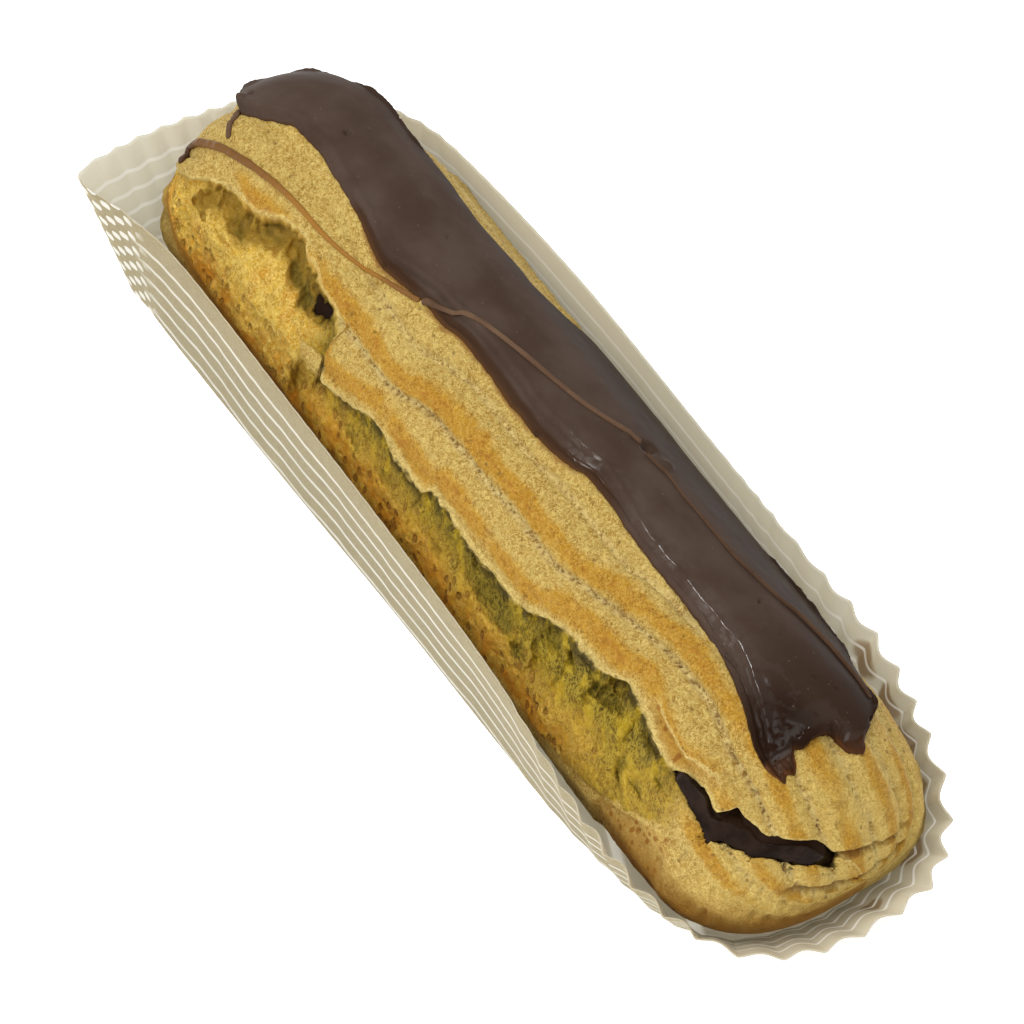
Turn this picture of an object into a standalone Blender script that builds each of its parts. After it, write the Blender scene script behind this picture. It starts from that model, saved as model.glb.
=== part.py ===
"""A chocolate eclair lying in its pleated paper case.

The case's flat base is at z = 0 with the origin at its middle. The eclair lies along X, its split side
faces -Y, and the end where the filling shows best is at +X. Lengths are metres; MM turns millimetres
into metres. Four closed solids: the choux shell, the chocolate filling that runs through it, the layer of
chocolate icing on top, and the paper case.
"""

import bmesh
import bpy
import numpy as np

MM = 0.001

# Driving sizes of the eclair
NEAR_TIP, FAR_TIP = 75.0 * MM, -73.5 * MM
GAP = 0.32 * MM  # left between neighbours that touch

# Outline of the shell across its middle, (y, z), from the front of the base round the back to the lip
SHELL_OUTLINE = np.array([
    (-17.2, 3.6), (-11.0, 1.0), (0.0, 1.0), (11.0, 1.0), (17.8, 3.6), (20.8, 9.0), (20.7, 14.5),
    (18.5, 20.8), (14.6, 26.2), (9.4, 30.8), (3.0, 33.3), (-4.0, 33.2), (-10.3, 30.4), (-14.8, 25.8),
    (-17.4, 21.0), (-19.0, 16.0), (-19.9, 9.6),
]) * MM

# Each end narrows to a tip: where the tip is in (y, z), and how long and how blunt the rounding is at
# the front, at the back and in height
NEAR_END = dict(tip=NEAR_TIP, middle=(3.0 * MM, 14.5 * MM), front=(21 * MM, 2.5), back=(21 * MM, 2.5),
                height=(22 * MM, 2.2))
FAR_END = dict(tip=FAR_TIP, middle=(-3.0 * MM, 12.0 * MM), front=(11 * MM, 2.3), back=(20 * MM, 2.3),
               height=(19 * MM, 2.1))

# Piped ridges along the crust, measured round the outline from its highest point (+ is the back)
RIDGE_PITCH, RIDGE_HEIGHT, RIDGE_CREST = 6.3 * MM, 0.5 * MM, -2.1 * MM
RIDGE_DRIFT = np.array([(-10, 0), (0, 0.3), (16, 1.1), (25, 1.9), (30, 2.8), (39, 4.5), (46, 5.1)]) * MM
RIDGE_FADE = 1.8 * MM  # over this width they fade out beside the icing
RIDGE_LOWEST, RIDGE_LOW_FADE = 42 * MM, 8 * MM  # they end this far round, near the base
BARE_NEAR, BARE_FAR = 64 * MM, -66 * MM  # past these the ends are bare of icing

# The split in the front: its upper edge (the lip) and its lower edge, as (x, distance round the outline)
LIP = np.array([
    (-73, -21), (-68, -19.5), (-63, -18), (-58, -15.2), (-51, -13.9), (-45, -10.2), (-40, -10.3),
    (-35, -12), (-32, -13.4), (-29, -22.2), (-25, -23.0), (-22, -21.7), (-19, -19.4), (-3, -19.7),
    (0, -17.6), (9, -18.4), (20, -18.0), (25, -16.1), (31, -14.3), (37, -13.9), (43, -11.7), (53, -13.4),
    (60, -12.7), (67, -11.1), (70, -8.5), (75, -6.0),
]) * MM
LOWER_EDGE = np.array([
    (-73, -22.5), (-67, -24), (-58, -25), (-40, -24.5), (-33, -25), (-29, -31), (30, -32), (42, -30.5),
    (50, -25), (57, -20), (64, -19), (68, -16.5), (71, -14.2), (75, -9.0),
]) * MM
# How far the torn crumb face stands back under the lip
FACE_RECESS = np.array([
    (-71, 0.3), (-66, 2.0), (-50, 3.6), (-34, 3.4), (-30, 1.2), (-26, 2.6), (0, 3.4), (44, 3.2), (54, 1.4),
    (66, 1.0), (75, 0.4),
]) * MM
# The hollows in the split: distance below the lip, half width and depth along x
HOLLOW_BELOW_LIP = np.array([(-70, 2), (-60, 4.5), (-40, 6.2), (-34, 5.6), (-28, 4.2), (40, 3.6), (50, 2.0),
                             (54, 1.5), (58, 1.7), (61, 2.4), (64, 3.4), (70, 3.0), (75, 1.6)]) * MM
HOLLOW_HALF = np.array([(-70, 2), (-60, 4.0), (-40, 5.4), (-34, 4.8), (-28, 2.6), (40, 2), (50, 1.5),
                        (54, 1.4), (58, 1.6), (61, 2.4), (64, 3.3), (70, 2.9), (75, 1.5)]) * MM
HOLLOW_DEPTH = np.array([
    (-70, 0), (-66, 2.0), (-58, 4.0), (-46, 6.5), (-39, 9.0), (-34, 8.5), (-31, 1.0), (-27.0, 3.0),
    (-23, 0), (10, 0.5), (14, 2.0), (19, 0.5), (26, 2.0), (32, 0.8), (42, 1.6), (50, 1.4), (54, 5.0),
    (60, 6.0), (68, 6.0), (73, 3.5), (74.5, 0.5),
]) * MM
# The torn surface is pushed this far below level as it goes in, and eases in over this share of its width
TORN_TILT = np.radians(48)
TORN_EASE = 0.08

# Filling: a flattened rope of chocolate cream along the shell
FILLING_FAR, FILLING_NEAR = -42.0 * MM, 72.6 * MM
FILLING_ROUNDING, FILLING_BLUNT = 5 * MM, 0.8  # length of its round ends, and how square its sides are
FILLING_FRONT = np.array([(-42, -7), (-39, -11.6), (-36, -12.8), (-31, -11.5), (-24, -8), (40, -8.5),
                          (50, -10.5), (56, -12.6), (61, -13.3), (64, -12.9), (67, -11.2), (70, -8.3),
                          (72.6, -5.6)]) * MM
FILLING_BACK = np.array([(-42, -4), (-38, 2), (0, 7), (50, 7), (64, 5.5), (72.6, -1)]) * MM
FILLING_HEIGHT = np.array([(-42, 21.5), (-36, 21.4), (0, 20.5), (45, 23.4), (55, 25.0), (62, 24.3),
                           (68, 23.8), (72.6, 22.6)]) * MM
FILLING_HALF = np.array([(-42, 1.6), (-38, 2.8), (0, 3.6), (50, 3.2), (62, 2.9), (68, 2.5),
                         (72.6, 1.2)]) * MM

# Icing: a strip over the top. Edges are (x, distance round the outline)
ICING_THICKNESS, ICING_EDGE = 1.45 * MM, 0.45 * MM
ICING_ROUND_SIDE, ICING_ROUND_END = 6, 14  # its edge is round over one in so many parts of width and length
ICING_FRONT = np.array([
    (-69, -6.5), (-64, -6.3), (-60, -4.9), (-58, -3.3), (-54, -2.3), (-50, -2.2), (-45, -2.8), (-36, -3.8),
    (-28, -4.7), (-25, -4.4), (-21, -3.0), (-16, -3.6), (-12, -2.6), (8, -2.1), (12, -0.7), (19, -0.4),
    (28, -1.2), (47, -1.7), (57, -3.6), (62, -5.1), (66, -5.4),
]) * MM
ICING_BACK = np.array([
    (-69, 8), (-62, 12), (-55, 15.0), (-20, 15.5), (-14, 19.0), (-8, 25.0), (0, 26.0), (44, 26.0),
    (54, 22.0), (64, 16.0),
]) * MM
# Where the strip ends, as (share of its width from the front, x)
ICING_FAR_END = np.array([(0, -62.0), (0.12, -66.0), (0.3, -68.4), (0.6, -68.6), (0.85, -66.0),
                          (1, -59.0)]) * (1, MM)
ICING_NEAR_END = np.array([(0, 63.0), (0.04, 65.6), (0.1, 65.8), (0.15, 64.0), (0.22, 61.7), (0.45, 62.0),
                           (0.58, 62.6), (0.7, 64.3), (0.82, 63.2), (1, 58.0)]) * (1, MM)

# Drizzled threads, (x, distance round the outline); each is fused to what it lies on
THREAD_RADIUS, THREAD_SUNK = 0.62 * MM, 0.25 * MM
CRUST_THREAD = np.array([(-69.3, -17.6), (-67.5, -14.4), (-63, -11.8), (-59, -10.3), (-54, -9.2),
                         (-45, -7.9), (-35, -7.0), (-30.5, -6.1)]) * MM
ICING_THREAD = np.array([(-20, -2.0), (-17, -0.6), (-8, 3.1), (-1, 5.5), (4, 7.6), (11, 9.6), (18, 9.9),
                         (30, 9.6), (38, 10.8), (44, 12.6), (54, 15.4)]) * MM

# Paper case, a ruled wall between its base edge and its rim. Each row is one place round it, from the
# far front corner along the front: base x and y, rim x and y, rim height, and how deep the pleats are
PAPER_THICKNESS = 0.5 * MM
CASE = np.array([
    (-69, -24.2, -75.5, -27.4, 19, 0.2), (-62, -24.6, -66, -24.8, 19, 0.1),
    (-50, -24.4, -54, -22.9, 19, 0.05), (-25, -23.5, -25, -22.4, 19, 0.05),
    (0, -22.3, 0, -22.1, 19, 0.05), (25, -21.6, 25, -22.4, 19, 0.05),
    (40, -20.9, 40, -23.0, 17, 0.4), (52, -19.2, 53, -22.6, 14.5, 0.9), (61, -16.8, 64, -20.8, 13, 1.0),
    (67, -11.9, 74, -16.2, 13, 1.0), (70, -4, 79.2, -7.5, 13, 1.0), (70.5, 3, 80.3, 3, 13, 1.0),
    (68.5, 10.8, 78.5, 11.5, 13, 1.0), (63, 17.6, 71, 18.8, 13, 1.0), (53, 21.3, 58, 23.3, 13.5, 1.0),
    (42, 21.9, 45, 25.4, 14, 0.9), (32, 22.3, 33, 24.0, 17, 0.5), (10, 22.4, 10, 23.0, 19, 0.05),
    (-20, 22.4, -20, 23.2, 19, 0.05), (-45, 22.5, -45, 22.6, 19, 0.05), (-58, 21.7, -59.5, 21.8, 19, 0.4),
    (-67, 15.5, -69.5, 15.8, 19, 0.7), (-72.5, 6, -75.8, 5, 19, 0.7), (-73, -5, -77.5, -7, 19, 0.7),
    (-72, -16, -77.4, -19, 19, 0.6),
]) * MM
PLEAT_PITCH, FLAT_STEP = 6.2 * MM, 9.0 * MM
PLEATED_FROM = 0.25 * MM  # a wall with pleats this deep gets four columns to a pleat
CASE_LEVELS = np.array([0, 0.35, 0.7, 1.0])  # shares of the wall's height

# Rows and columns of the meshes
SHELL_END_ROWS, SHELL_MIDDLE_ROWS = 8, 40
TOP_COLUMNS, UNDER_COLUMNS, TORN_COLUMNS = 30, 13, 12
TURN_UNDER = 30 * MM  # how far round the back the closer top columns reach
FILLING_END_ROWS, FILLING_MIDDLE_ROWS, FILLING_SIDES = 5, 16, 12
ICING_ROWS, ICING_COLUMNS = 38, 13
THREAD_ROWS, THREAD_SIDES = 26, 6


def through(knots, at):
    """Smooth value at `at` through (position, value) knots: cubic pieces that never overshoot a knot."""
    place, value = np.asarray(knots, float).T
    step = np.diff(value) / np.diff(place)
    slope = np.zeros_like(value)
    same = step[:-1] * step[1:] > 0
    slope[1:-1][same] = 2 * step[:-1][same] * step[1:][same] / (step[:-1] + step[1:])[same]
    at = np.clip(at, place[0], place[-1])
    i = np.clip(np.searchsorted(place, at, side="right") - 1, 0, len(place) - 2)
    span = place[i + 1] - place[i]
    t = (at - place[i]) / span
    return (value[i] * (1 + 2 * t) * (1 - t) ** 2 + slope[i] * span * t * (1 - t) ** 2
            + value[i + 1] * t * t * (3 - 2 * t) + slope[i + 1] * span * t * t * (t - 1))


def measured_outline(corners, per_corner=40):
    """Closed Catmull-Rom curve through the corners: distance round it from its highest point, y and z."""
    before, after, last = np.roll(corners, 1, 0), np.roll(corners, -1, 0), np.roll(corners, -2, 0)
    t = np.linspace(0, 1, per_corner, endpoint=False)[None, :, None]
    a, b, c, d = (p[:, None, :] for p in (before, corners, after, last))
    curve = 0.5 * (2 * b + (c - a) * t + (2 * a - 5 * b + 4 * c - d) * t**2 + (3 * b - a - 3 * c + d) * t**3)
    curve = curve.reshape(-1, 2)
    curve = np.roll(curve, -np.argmax(curve[:, 1]), 0)[::-1]  # from the top over the back to the front
    curve = np.roll(curve, 1, 0)
    curve = np.vstack([curve, curve[:1]])
    distance = np.concatenate([[0], np.cumsum(np.linalg.norm(np.diff(curve, axis=0), axis=1))])
    return distance, curve[:, 0], curve[:, 1]


ROUND, ROUND_Y, ROUND_Z = measured_outline(SHELL_OUTLINE)
GIRTH = ROUND[-1]


def end_share(x, end, which):
    """1 along the body, falling to 0 at the tip on a superellipse."""
    length, power = end[which]
    reach = np.clip((np.abs(x) - (abs(end["tip"]) - length)) / length, 0, 1)
    return (1 - reach**power) ** (1 / power)


def crust(x, s):
    """Points of the smooth shell surface at length x and distance s round the outline."""
    x, s = np.broadcast_arrays(x, s)
    y, z = (np.interp(np.mod(s, GIRTH), ROUND, axis) for axis in (ROUND_Y, ROUND_Z))
    for end, there in ((NEAR_END, x > 0), (FAR_END, x <= 0)):
        my, mz = end["middle"]
        plan = np.where(y < my, end_share(x, end, "front"), end_share(x, end, "back"))
        y = np.where(there, my + (y - my) * plan, y)
        z = np.where(there, mz + (z - mz) * end_share(x, end, "height"), z)
    return np.stack([x, y, z], -1)


def outward(x, s):
    """Unit normals of the smooth shell surface."""
    step = 0.2 * MM
    along = crust(x + step, s) - crust(x - step, s)
    across = crust(x, s + 2 * step) - crust(x, s - 2 * step)
    normal = np.cross(along, across)
    return normal / np.maximum(np.linalg.norm(normal, axis=-1, keepdims=True), 1e-12)


def inward(x, s):
    """Unit vectors from the shell surface into the body, TORN_TILT below level."""
    level = -outward(x, s) * (1, 1, 0)
    level /= np.maximum(np.linalg.norm(level, axis=-1, keepdims=True), 1e-9)
    return level * np.cos(TORN_TILT) - np.array([0, 0, np.sin(TORN_TILT)])


def girth_share(x):
    return np.where(x > 0, end_share(x, NEAR_END, "front"), end_share(x, FAR_END, "height"))


def ridges(x, s):
    """Rounded ridges with sharper grooves, fading on the base and under the icing."""
    phase = (s - through(RIDGE_DRIFT, x) - RIDGE_CREST) * girth_share(x) ** 0.7 / RIDGE_PITCH
    wave = 1 - 2 * np.abs(np.sin(np.pi * phase)) ** 1.6
    past_sides = np.maximum(through(ICING_FRONT, x) - s, s - through(ICING_BACK, x))
    past_ends = np.maximum(x - BARE_NEAR, BARE_FAR - x)
    bare = np.clip(np.maximum(past_sides, past_ends) / RIDGE_FADE, 0, 1)
    side = np.clip((RIDGE_LOWEST - np.abs(s)) / RIDGE_LOW_FADE, 0, 1)
    return RIDGE_HEIGHT * wave * bare * side * np.clip(girth_share(x) * 1.6, 0, 1)


def torn_depth(x, s):
    """How far the split's surface stands in from the outline, from its lip to its lower edge."""
    lip, low = through(LIP, x), through(LOWER_EDGE, x)
    below = lip - s
    share = np.clip(below / (lip - low), 0, 1)
    face = through(FACE_RECESS, x) * np.clip(share / TORN_EASE, 0, 1) * (1 - share) ** 0.8
    middle, half = through(HOLLOW_BELOW_LIP, x), through(HOLLOW_HALF, x)
    away = np.abs(below - middle) / half
    hollow = through(HOLLOW_DEPTH, x) * (1 - np.clip(away, 0, 1) ** 2.5) ** 1.5
    edge = np.clip(np.minimum(share, 1 - share) / TORN_EASE, 0, 1)
    return (face + hollow * edge) * np.clip(girth_share(x) * 1.6, 0, 1)


def shell_rows():
    """Places along the length, closer together where the ends round off."""
    cap = np.sin(np.linspace(0, np.pi / 2, SHELL_END_ROWS + 1))[:-1]
    far = FAR_TIP + FAR_END["height"][0] * (1 - cap[::-1])
    near = NEAR_TIP - NEAR_END["height"][0] * (1 - cap)
    middle = np.linspace(far[-1], near[0], SHELL_MIDDLE_ROWS + 2)[1:-1]
    return np.concatenate([far, middle, near])


def closed_mesh(name, points, faces):
    """A new object from points and faces, with every face turned to point out."""
    mesh = bpy.data.meshes.new(name)
    mesh.from_pydata(points.tolist(), [], faces)
    skin = bmesh.new()
    skin.from_mesh(mesh)
    bmesh.ops.recalc_face_normals(skin, faces=skin.faces)
    skin.to_mesh(mesh)
    skin.free()
    obj = bpy.data.objects.new(name, mesh)
    bpy.context.scene.collection.objects.link(obj)
    return obj


def tube_faces(rows, columns):
    """Quads of a grid that closes round its columns, and fans from a first and a last single point."""
    i, j = np.meshgrid(np.arange(rows - 1), np.arange(columns), indexing="ij")
    a = 1 + i * columns + j
    b = 1 + i * columns + (j + 1) % columns
    quads = np.stack([a, b, b + columns, a + columns], -1).reshape(-1, 4).tolist()
    last = 1 + rows * columns
    ring = np.arange(columns)
    first_fan = [[0, 1 + (k + 1) % columns, 1 + k] for k in ring]
    base = 1 + (rows - 1) * columns
    last_fan = [[last, base + k, base + (k + 1) % columns] for k in ring]
    return quads + first_fan + last_fan


def tube(name, grid, first, last):
    points = np.vstack([first[None], grid.reshape(-1, 3), last[None]])
    return closed_mesh(name, points, tube_faces(*grid.shape[:2]))


def choux_shell():
    """Rings of crust from the lip over the top, the back and the base, then the torn face up to the lip."""
    x = shell_rows()[:, None]
    lip, low = through(LIP, x), through(LOWER_EDGE, x)
    top = lip + (TURN_UNDER - lip) * np.linspace(0, 1, TOP_COLUMNS + 1)[None, :-1]
    under = TURN_UNDER + (low + GIRTH - TURN_UNDER) * np.linspace(0, 1, UNDER_COLUMNS + 1)[None, :-1]
    s = np.concatenate([top, under], axis=1)
    skin = crust(x, s) + outward(x, s) * ridges(x, s - GIRTH * (s > GIRTH / 2))[..., None]
    torn_s = low + (lip - low) * np.linspace(0, 1, TORN_COLUMNS + 1)[None, :-1]
    torn = crust(x, torn_s) + inward(x, torn_s) * torn_depth(x, torn_s)[..., None]
    grid = np.concatenate([skin, torn], axis=1)
    tips = [np.array([end["tip"], *end["middle"]]) for end in (FAR_END, NEAR_END)]
    return tube("choux_shell", grid, *tips)


def filling_rope(name, grow):
    """Flattened rope whose front, back, middle height and half height follow the knots along x."""
    first_x, last_x = FILLING_FAR - grow, FILLING_NEAR + grow
    ends = np.sin(np.linspace(0, np.pi / 2, FILLING_END_ROWS + 1))[:-1]
    far = first_x + FILLING_ROUNDING * (1 - ends[::-1])
    near = last_x - FILLING_ROUNDING * (1 - ends)
    x = np.concatenate([far, np.linspace(far[-1], near[0], FILLING_MIDDLE_ROWS + 2)[1:-1], near])
    reach = np.clip(np.minimum(x - first_x, last_x - x) / FILLING_ROUNDING, 0, 1)
    swell = np.sqrt(1 - (1 - reach) ** 2)[:, None]
    turn = np.linspace(0, 2 * np.pi, FILLING_SIDES, endpoint=False)[None, :]
    around = np.sign(np.cos(turn)) * np.abs(np.cos(turn)) ** FILLING_BLUNT

    def middle_of(place):
        side = (through(FILLING_FRONT, place) + through(FILLING_BACK, place)) / 2
        return np.stack([side, through(FILLING_HEIGHT, place)], -1)

    wide = ((through(FILLING_BACK, x) - through(FILLING_FRONT, x)) / 2 + grow)[:, None] * swell
    high = (through(FILLING_HALF, x) + grow)[:, None] * swell
    middle = middle_of(x)
    y = middle[:, :1] + wide * around
    z = middle[:, 1:] + high * np.sin(turn)
    grid = np.stack([np.broadcast_to(x[:, None], y.shape), y, z], -1)
    return tube(name, grid, *(np.array([place, *middle_of(place)]) for place in (first_x, last_x)))


def icing_layer():
    """Two sheets over the crust, the lower one a gap above it, joined round their edge."""
    rows, columns = ICING_ROWS, ICING_COLUMNS
    share = 0.5 - 0.5 * np.cos(np.linspace(0, np.pi, columns))[None, :]
    t = (0.5 - 0.5 * np.cos(np.linspace(0.12, np.pi - 0.12, rows)))[:, None]
    t = (t - t[0]) / (t[-1] - t[0])
    start, stop = through(ICING_FAR_END, share), through(ICING_NEAR_END, share)
    x = start + (stop - start) * t
    front, back = through(ICING_FRONT, x), through(ICING_BACK, x)
    s = front + (back - front) * share
    normal = outward(x, s)
    under = crust(x, s) + normal * GAP
    inset = np.minimum(np.minimum(share, 1 - share) * ICING_ROUND_SIDE,
                       np.minimum(t, 1 - t) * ICING_ROUND_END)
    swell = np.sqrt(1 - (1 - np.clip(inset, 0, 1)) ** 2)
    over = under + normal * (ICING_EDGE + (ICING_THICKNESS - ICING_EDGE) * swell)[..., None]
    count = rows * columns
    i, j = np.meshgrid(np.arange(rows - 1), np.arange(columns - 1), indexing="ij")
    a = (i * columns + j).ravel()
    sheet = np.stack([a, a + 1, a + columns + 1, a + columns], -1)
    border = np.concatenate([
        np.arange(columns - 1), (np.arange(rows - 1) * columns) + columns - 1,
        (rows * columns - 1) - np.arange(columns - 1), ((rows - 1) - np.arange(rows - 1)) * columns])
    after = np.roll(border, -1)
    wall = np.stack([border, border + count, after + count, after], -1)
    faces = sheet.tolist() + (sheet[:, ::-1] + count).tolist() + wall.tolist()
    points = np.concatenate([under.reshape(-1, 3), over.reshape(-1, 3)])
    return closed_mesh("chocolate_icing", points, faces)


def thread(name, route, lift):
    """Thin round drizzle along a route over the crust."""
    x = np.linspace(route[0, 0], route[-1, 0], THREAD_ROWS)
    s = through(route, x)
    middle = crust(x, s) + outward(x, s) * lift
    ahead = np.gradient(middle, axis=0)
    ahead /= np.linalg.norm(ahead, axis=1, keepdims=True)
    up = outward(x, s)
    aside = np.cross(ahead, up)
    turn = np.linspace(0, 2 * np.pi, THREAD_SIDES, endpoint=False) + 0.2
    ring = np.cos(turn)[None, :, None] * aside[:, None] + np.sin(turn)[None, :, None] * up[:, None]
    row = np.arange(THREAD_ROWS)
    thin = THREAD_RADIUS * np.sqrt(np.clip(np.minimum(row, row[::-1]) / 2 + 0.3, 0, 1))
    grid = middle[:, None] + ring * thin[:, None, None]
    return tube(name, grid, middle[0] - ahead[0] * THREAD_RADIUS, middle[-1] + ahead[-1] * THREAD_RADIUS)


def round_case():
    """Places round the case, close together where it is pleated: the columns of CASE and the pleat wave."""
    before, after, last = np.roll(CASE, 1, 0), np.roll(CASE, -1, 0), np.roll(CASE, -2, 0)
    t = np.linspace(0, 1, 60, endpoint=False)[None, :, None]
    a, b, c, d = (p[:, None, :] for p in (before, CASE, after, last))
    path = 0.5 * (2 * b + (c - a) * t + (2 * a - 5 * b + 4 * c - d) * t**2 + (3 * b - a - 3 * c + d) * t**3)
    path = path.reshape(-1, 6)
    run = np.linalg.norm(np.roll(path[:, 2:4], -1, 0) - path[:, 2:4], axis=1)
    step = np.where(path[:, 5] > PLEATED_FROM, PLEAT_PITCH / 4, FLAT_STEP)
    steps = np.concatenate([[0], np.cumsum(run / step)])
    count = int(steps[-1])
    picks = np.interp(np.arange(count) * steps[-1] / count, steps, np.arange(len(steps)))
    picks = np.floor(picks).astype(int) % len(path)
    turns = np.cumsum(run)[picks] / PLEAT_PITCH
    picked = path[picks]
    return picked, picked[:, 5] * (0.5 - 0.5 * np.cos(2 * np.pi * turns))


def paper_case():
    """Outer and inner skins of the tray, joined round the rim. The pleats only push outwards."""
    place, wave = round_case()
    base, rim, height = place[:, 0:2], place[:, 2:4], place[:, 4]
    around = len(base)
    away = np.roll(rim, -1, 0) - np.roll(rim, 1, 0)
    away = np.stack([away[:, 1], -away[:, 0]], -1)
    away /= np.linalg.norm(away, axis=1, keepdims=True)

    def skin(inset, floor):
        rows = []
        for level in CASE_LEVELS:
            plan = base + (rim - base) * level + away * (wave * (0.2 + 0.8 * level) - inset)[:, None]
            rows.append(np.column_stack([plan, floor + (height - floor) * level]))
        return np.array(rows)

    outer, inner = skin(0, 0.0), skin(PAPER_THICKNESS, PAPER_THICKNESS)
    points = np.concatenate([outer.reshape(-1, 3), inner.reshape(-1, 3)])
    rows = len(CASE_LEVELS)
    count = rows * around
    i, j = np.meshgrid(np.arange(rows - 1), np.arange(around), indexing="ij")
    a, b = (i * around + j).ravel(), (i * around + (j + 1) % around).ravel()
    wall = np.stack([a, b, b + around, a + around], -1)
    top = (rows - 1) * around + np.arange(around)
    after = (rows - 1) * around + (np.arange(around) + 1) % around
    lid = np.stack([top, after, after + count, top + count], -1)
    faces = wall.tolist() + (wall[:, ::-1] + count).tolist() + lid.tolist()
    faces.append(list(range(around))[::-1])
    faces.append([count + k for k in range(around)])
    return closed_mesh("paper_case", points, faces)


def boolean(target, cutter, operation):
    """Applies a Boolean on `target` and removes the other object."""
    step = target.modifiers.new(operation.lower(), "BOOLEAN")
    step.operation, step.solver, step.object = operation, "EXACT", cutter
    bpy.context.view_layer.update()
    done = bpy.data.meshes.new_from_object(target.evaluated_get(bpy.context.evaluated_depsgraph_get()))
    target.modifiers.clear()
    target.data = done
    bpy.data.objects.remove(cutter)


def finish(obj, colour, roughness):
    material = bpy.data.materials.new(obj.name)
    material.use_nodes = True
    shader = material.node_tree.nodes["Principled BSDF"]
    shader.inputs["Base Color"].default_value = (*colour, 1)
    shader.inputs["Roughness"].default_value = roughness
    shader.inputs["Metallic"].default_value = 0
    obj.data.materials.clear()
    obj.data.materials.append(material)
    obj.data.shade_smooth()


for old in list(bpy.data.objects):
    bpy.data.objects.remove(old)

shell = choux_shell()
filling = filling_rope("chocolate_filling", 0.0)
boolean(shell, filling_rope("filling_space", GAP), "DIFFERENCE")
boolean(shell, thread("crust_thread", CRUST_THREAD, THREAD_SUNK), "UNION")
icing = icing_layer()
boolean(icing, thread("icing_thread", ICING_THREAD, GAP + ICING_THICKNESS), "UNION")
case = paper_case()

finish(shell, (0.60, 0.36, 0.10), 0.75)
finish(filling, (0.045, 0.022, 0.015), 0.35)
finish(icing, (0.060, 0.036, 0.028), 0.30)
finish(case, (0.45, 0.40, 0.30), 0.85)
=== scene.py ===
"""A chocolate eclair in its pleated paper case: the looks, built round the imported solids.

Every new piece is a surface of two parameters worked out with numpy as a grid of rings, and every material
is made of nodes that read Object coordinates or the piece's own attributes. Lengths are metres; MM turns
millimetres into metres. +X runs along the eclair to the end whose filling shows, -Y is the split side.
"""

import itertools
import math
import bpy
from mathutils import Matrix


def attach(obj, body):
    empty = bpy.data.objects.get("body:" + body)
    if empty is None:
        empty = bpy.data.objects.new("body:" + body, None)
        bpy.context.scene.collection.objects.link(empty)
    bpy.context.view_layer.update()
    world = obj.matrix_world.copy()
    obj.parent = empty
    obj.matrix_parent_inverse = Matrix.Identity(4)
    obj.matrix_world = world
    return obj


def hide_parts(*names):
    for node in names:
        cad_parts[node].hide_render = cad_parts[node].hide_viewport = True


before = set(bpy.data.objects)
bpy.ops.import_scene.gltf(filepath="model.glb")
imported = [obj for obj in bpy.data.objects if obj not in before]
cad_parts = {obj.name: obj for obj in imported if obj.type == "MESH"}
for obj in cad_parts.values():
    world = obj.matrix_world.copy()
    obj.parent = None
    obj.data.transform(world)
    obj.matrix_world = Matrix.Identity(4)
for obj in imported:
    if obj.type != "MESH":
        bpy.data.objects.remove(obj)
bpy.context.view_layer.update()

from types import SimpleNamespace as Shades

import bpy
import numpy as np
from mathutils import Vector

MM = 0.001

# The photograph's view: turned from the front, raised above level, and from how far it looks at what point
VIEW_TURN, VIEW_RISE, VIEW_DISTANCE = math.radians(57), math.radians(57), 0.570
VIEW_TARGET = np.array([2.85, -4.75, 14.25]) * MM
FRAME_PIXELS, FOCAL_PIXELS, SENSOR = 1024, 4200, 36.0
TO_VIEW = np.array([math.sin(VIEW_TURN) * math.cos(VIEW_RISE), -math.cos(VIEW_TURN) * math.cos(VIEW_RISE),
                    math.sin(VIEW_RISE)])

# Driving sizes of the eclair, as in its solids
NEAR_TIP, FAR_TIP = 75.0 * MM, -73.5 * MM
SHELL_OUTLINE = np.array([
    (-17.2, 3.6), (-11.0, 1.0), (0.0, 1.0), (11.0, 1.0), (17.0, 3.6), (19.6, 9.0), (19.1, 14.5),
    (16.8, 20.5), (13.1, 25.8), (8.5, 30.5), (2.8, 33.2), (-4.0, 33.2), (-10.3, 30.4), (-14.8, 25.8),
    (-17.4, 21.0), (-19.0, 16.0), (-19.9, 9.6),
]) * MM
NEAR_END = dict(tip=NEAR_TIP, middle=(3.0 * MM, 14.5 * MM), front=(21 * MM, 2.5), back=(21 * MM, 2.5),
                height=(22 * MM, 2.2))
FAR_END = dict(tip=FAR_TIP, middle=(-3.0 * MM, 12.0 * MM), front=(11 * MM, 2.3), back=(20 * MM, 2.3),
               height=(19 * MM, 2.1))

# Piped ridges: the two grooves that show, as (x, distance round the outline from its highest point, which
# grows towards the back)
RIDGE_HEIGHT, RIDGE_WIDTH = 0.50 * MM, 7.0 * MM
LOW_GROOVE = np.array([
    (-60, -14.5), (-35, -13.8), (-24.8, -13.5), (-18.8, -13.8), (-13.8, -13.2), (-9.1, -11.7),
    (-3.0, -11.0), (11.4, -10.6), (20.2, -10.6), (29.4, -8.3), (36.9, -6.6), (43.5, -5.5), (49.7, -5.4),
    (59.3, -7.2), (75, -7.5),
]) * MM
HIGH_GROOVE = np.array([
    (-60, -4.0), (-30, -6.5), (-18.2, -7.2), (-11.1, -5.1), (-4.8, -4.1), (6.7, -4.0), (12.5, -3.3),
    (21.0, -3.1), (28.5, -3.1), (31.5, -1.9), (40, -0.8), (50, 0.0), (60, -1.4), (75, -2.0),
]) * MM

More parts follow.
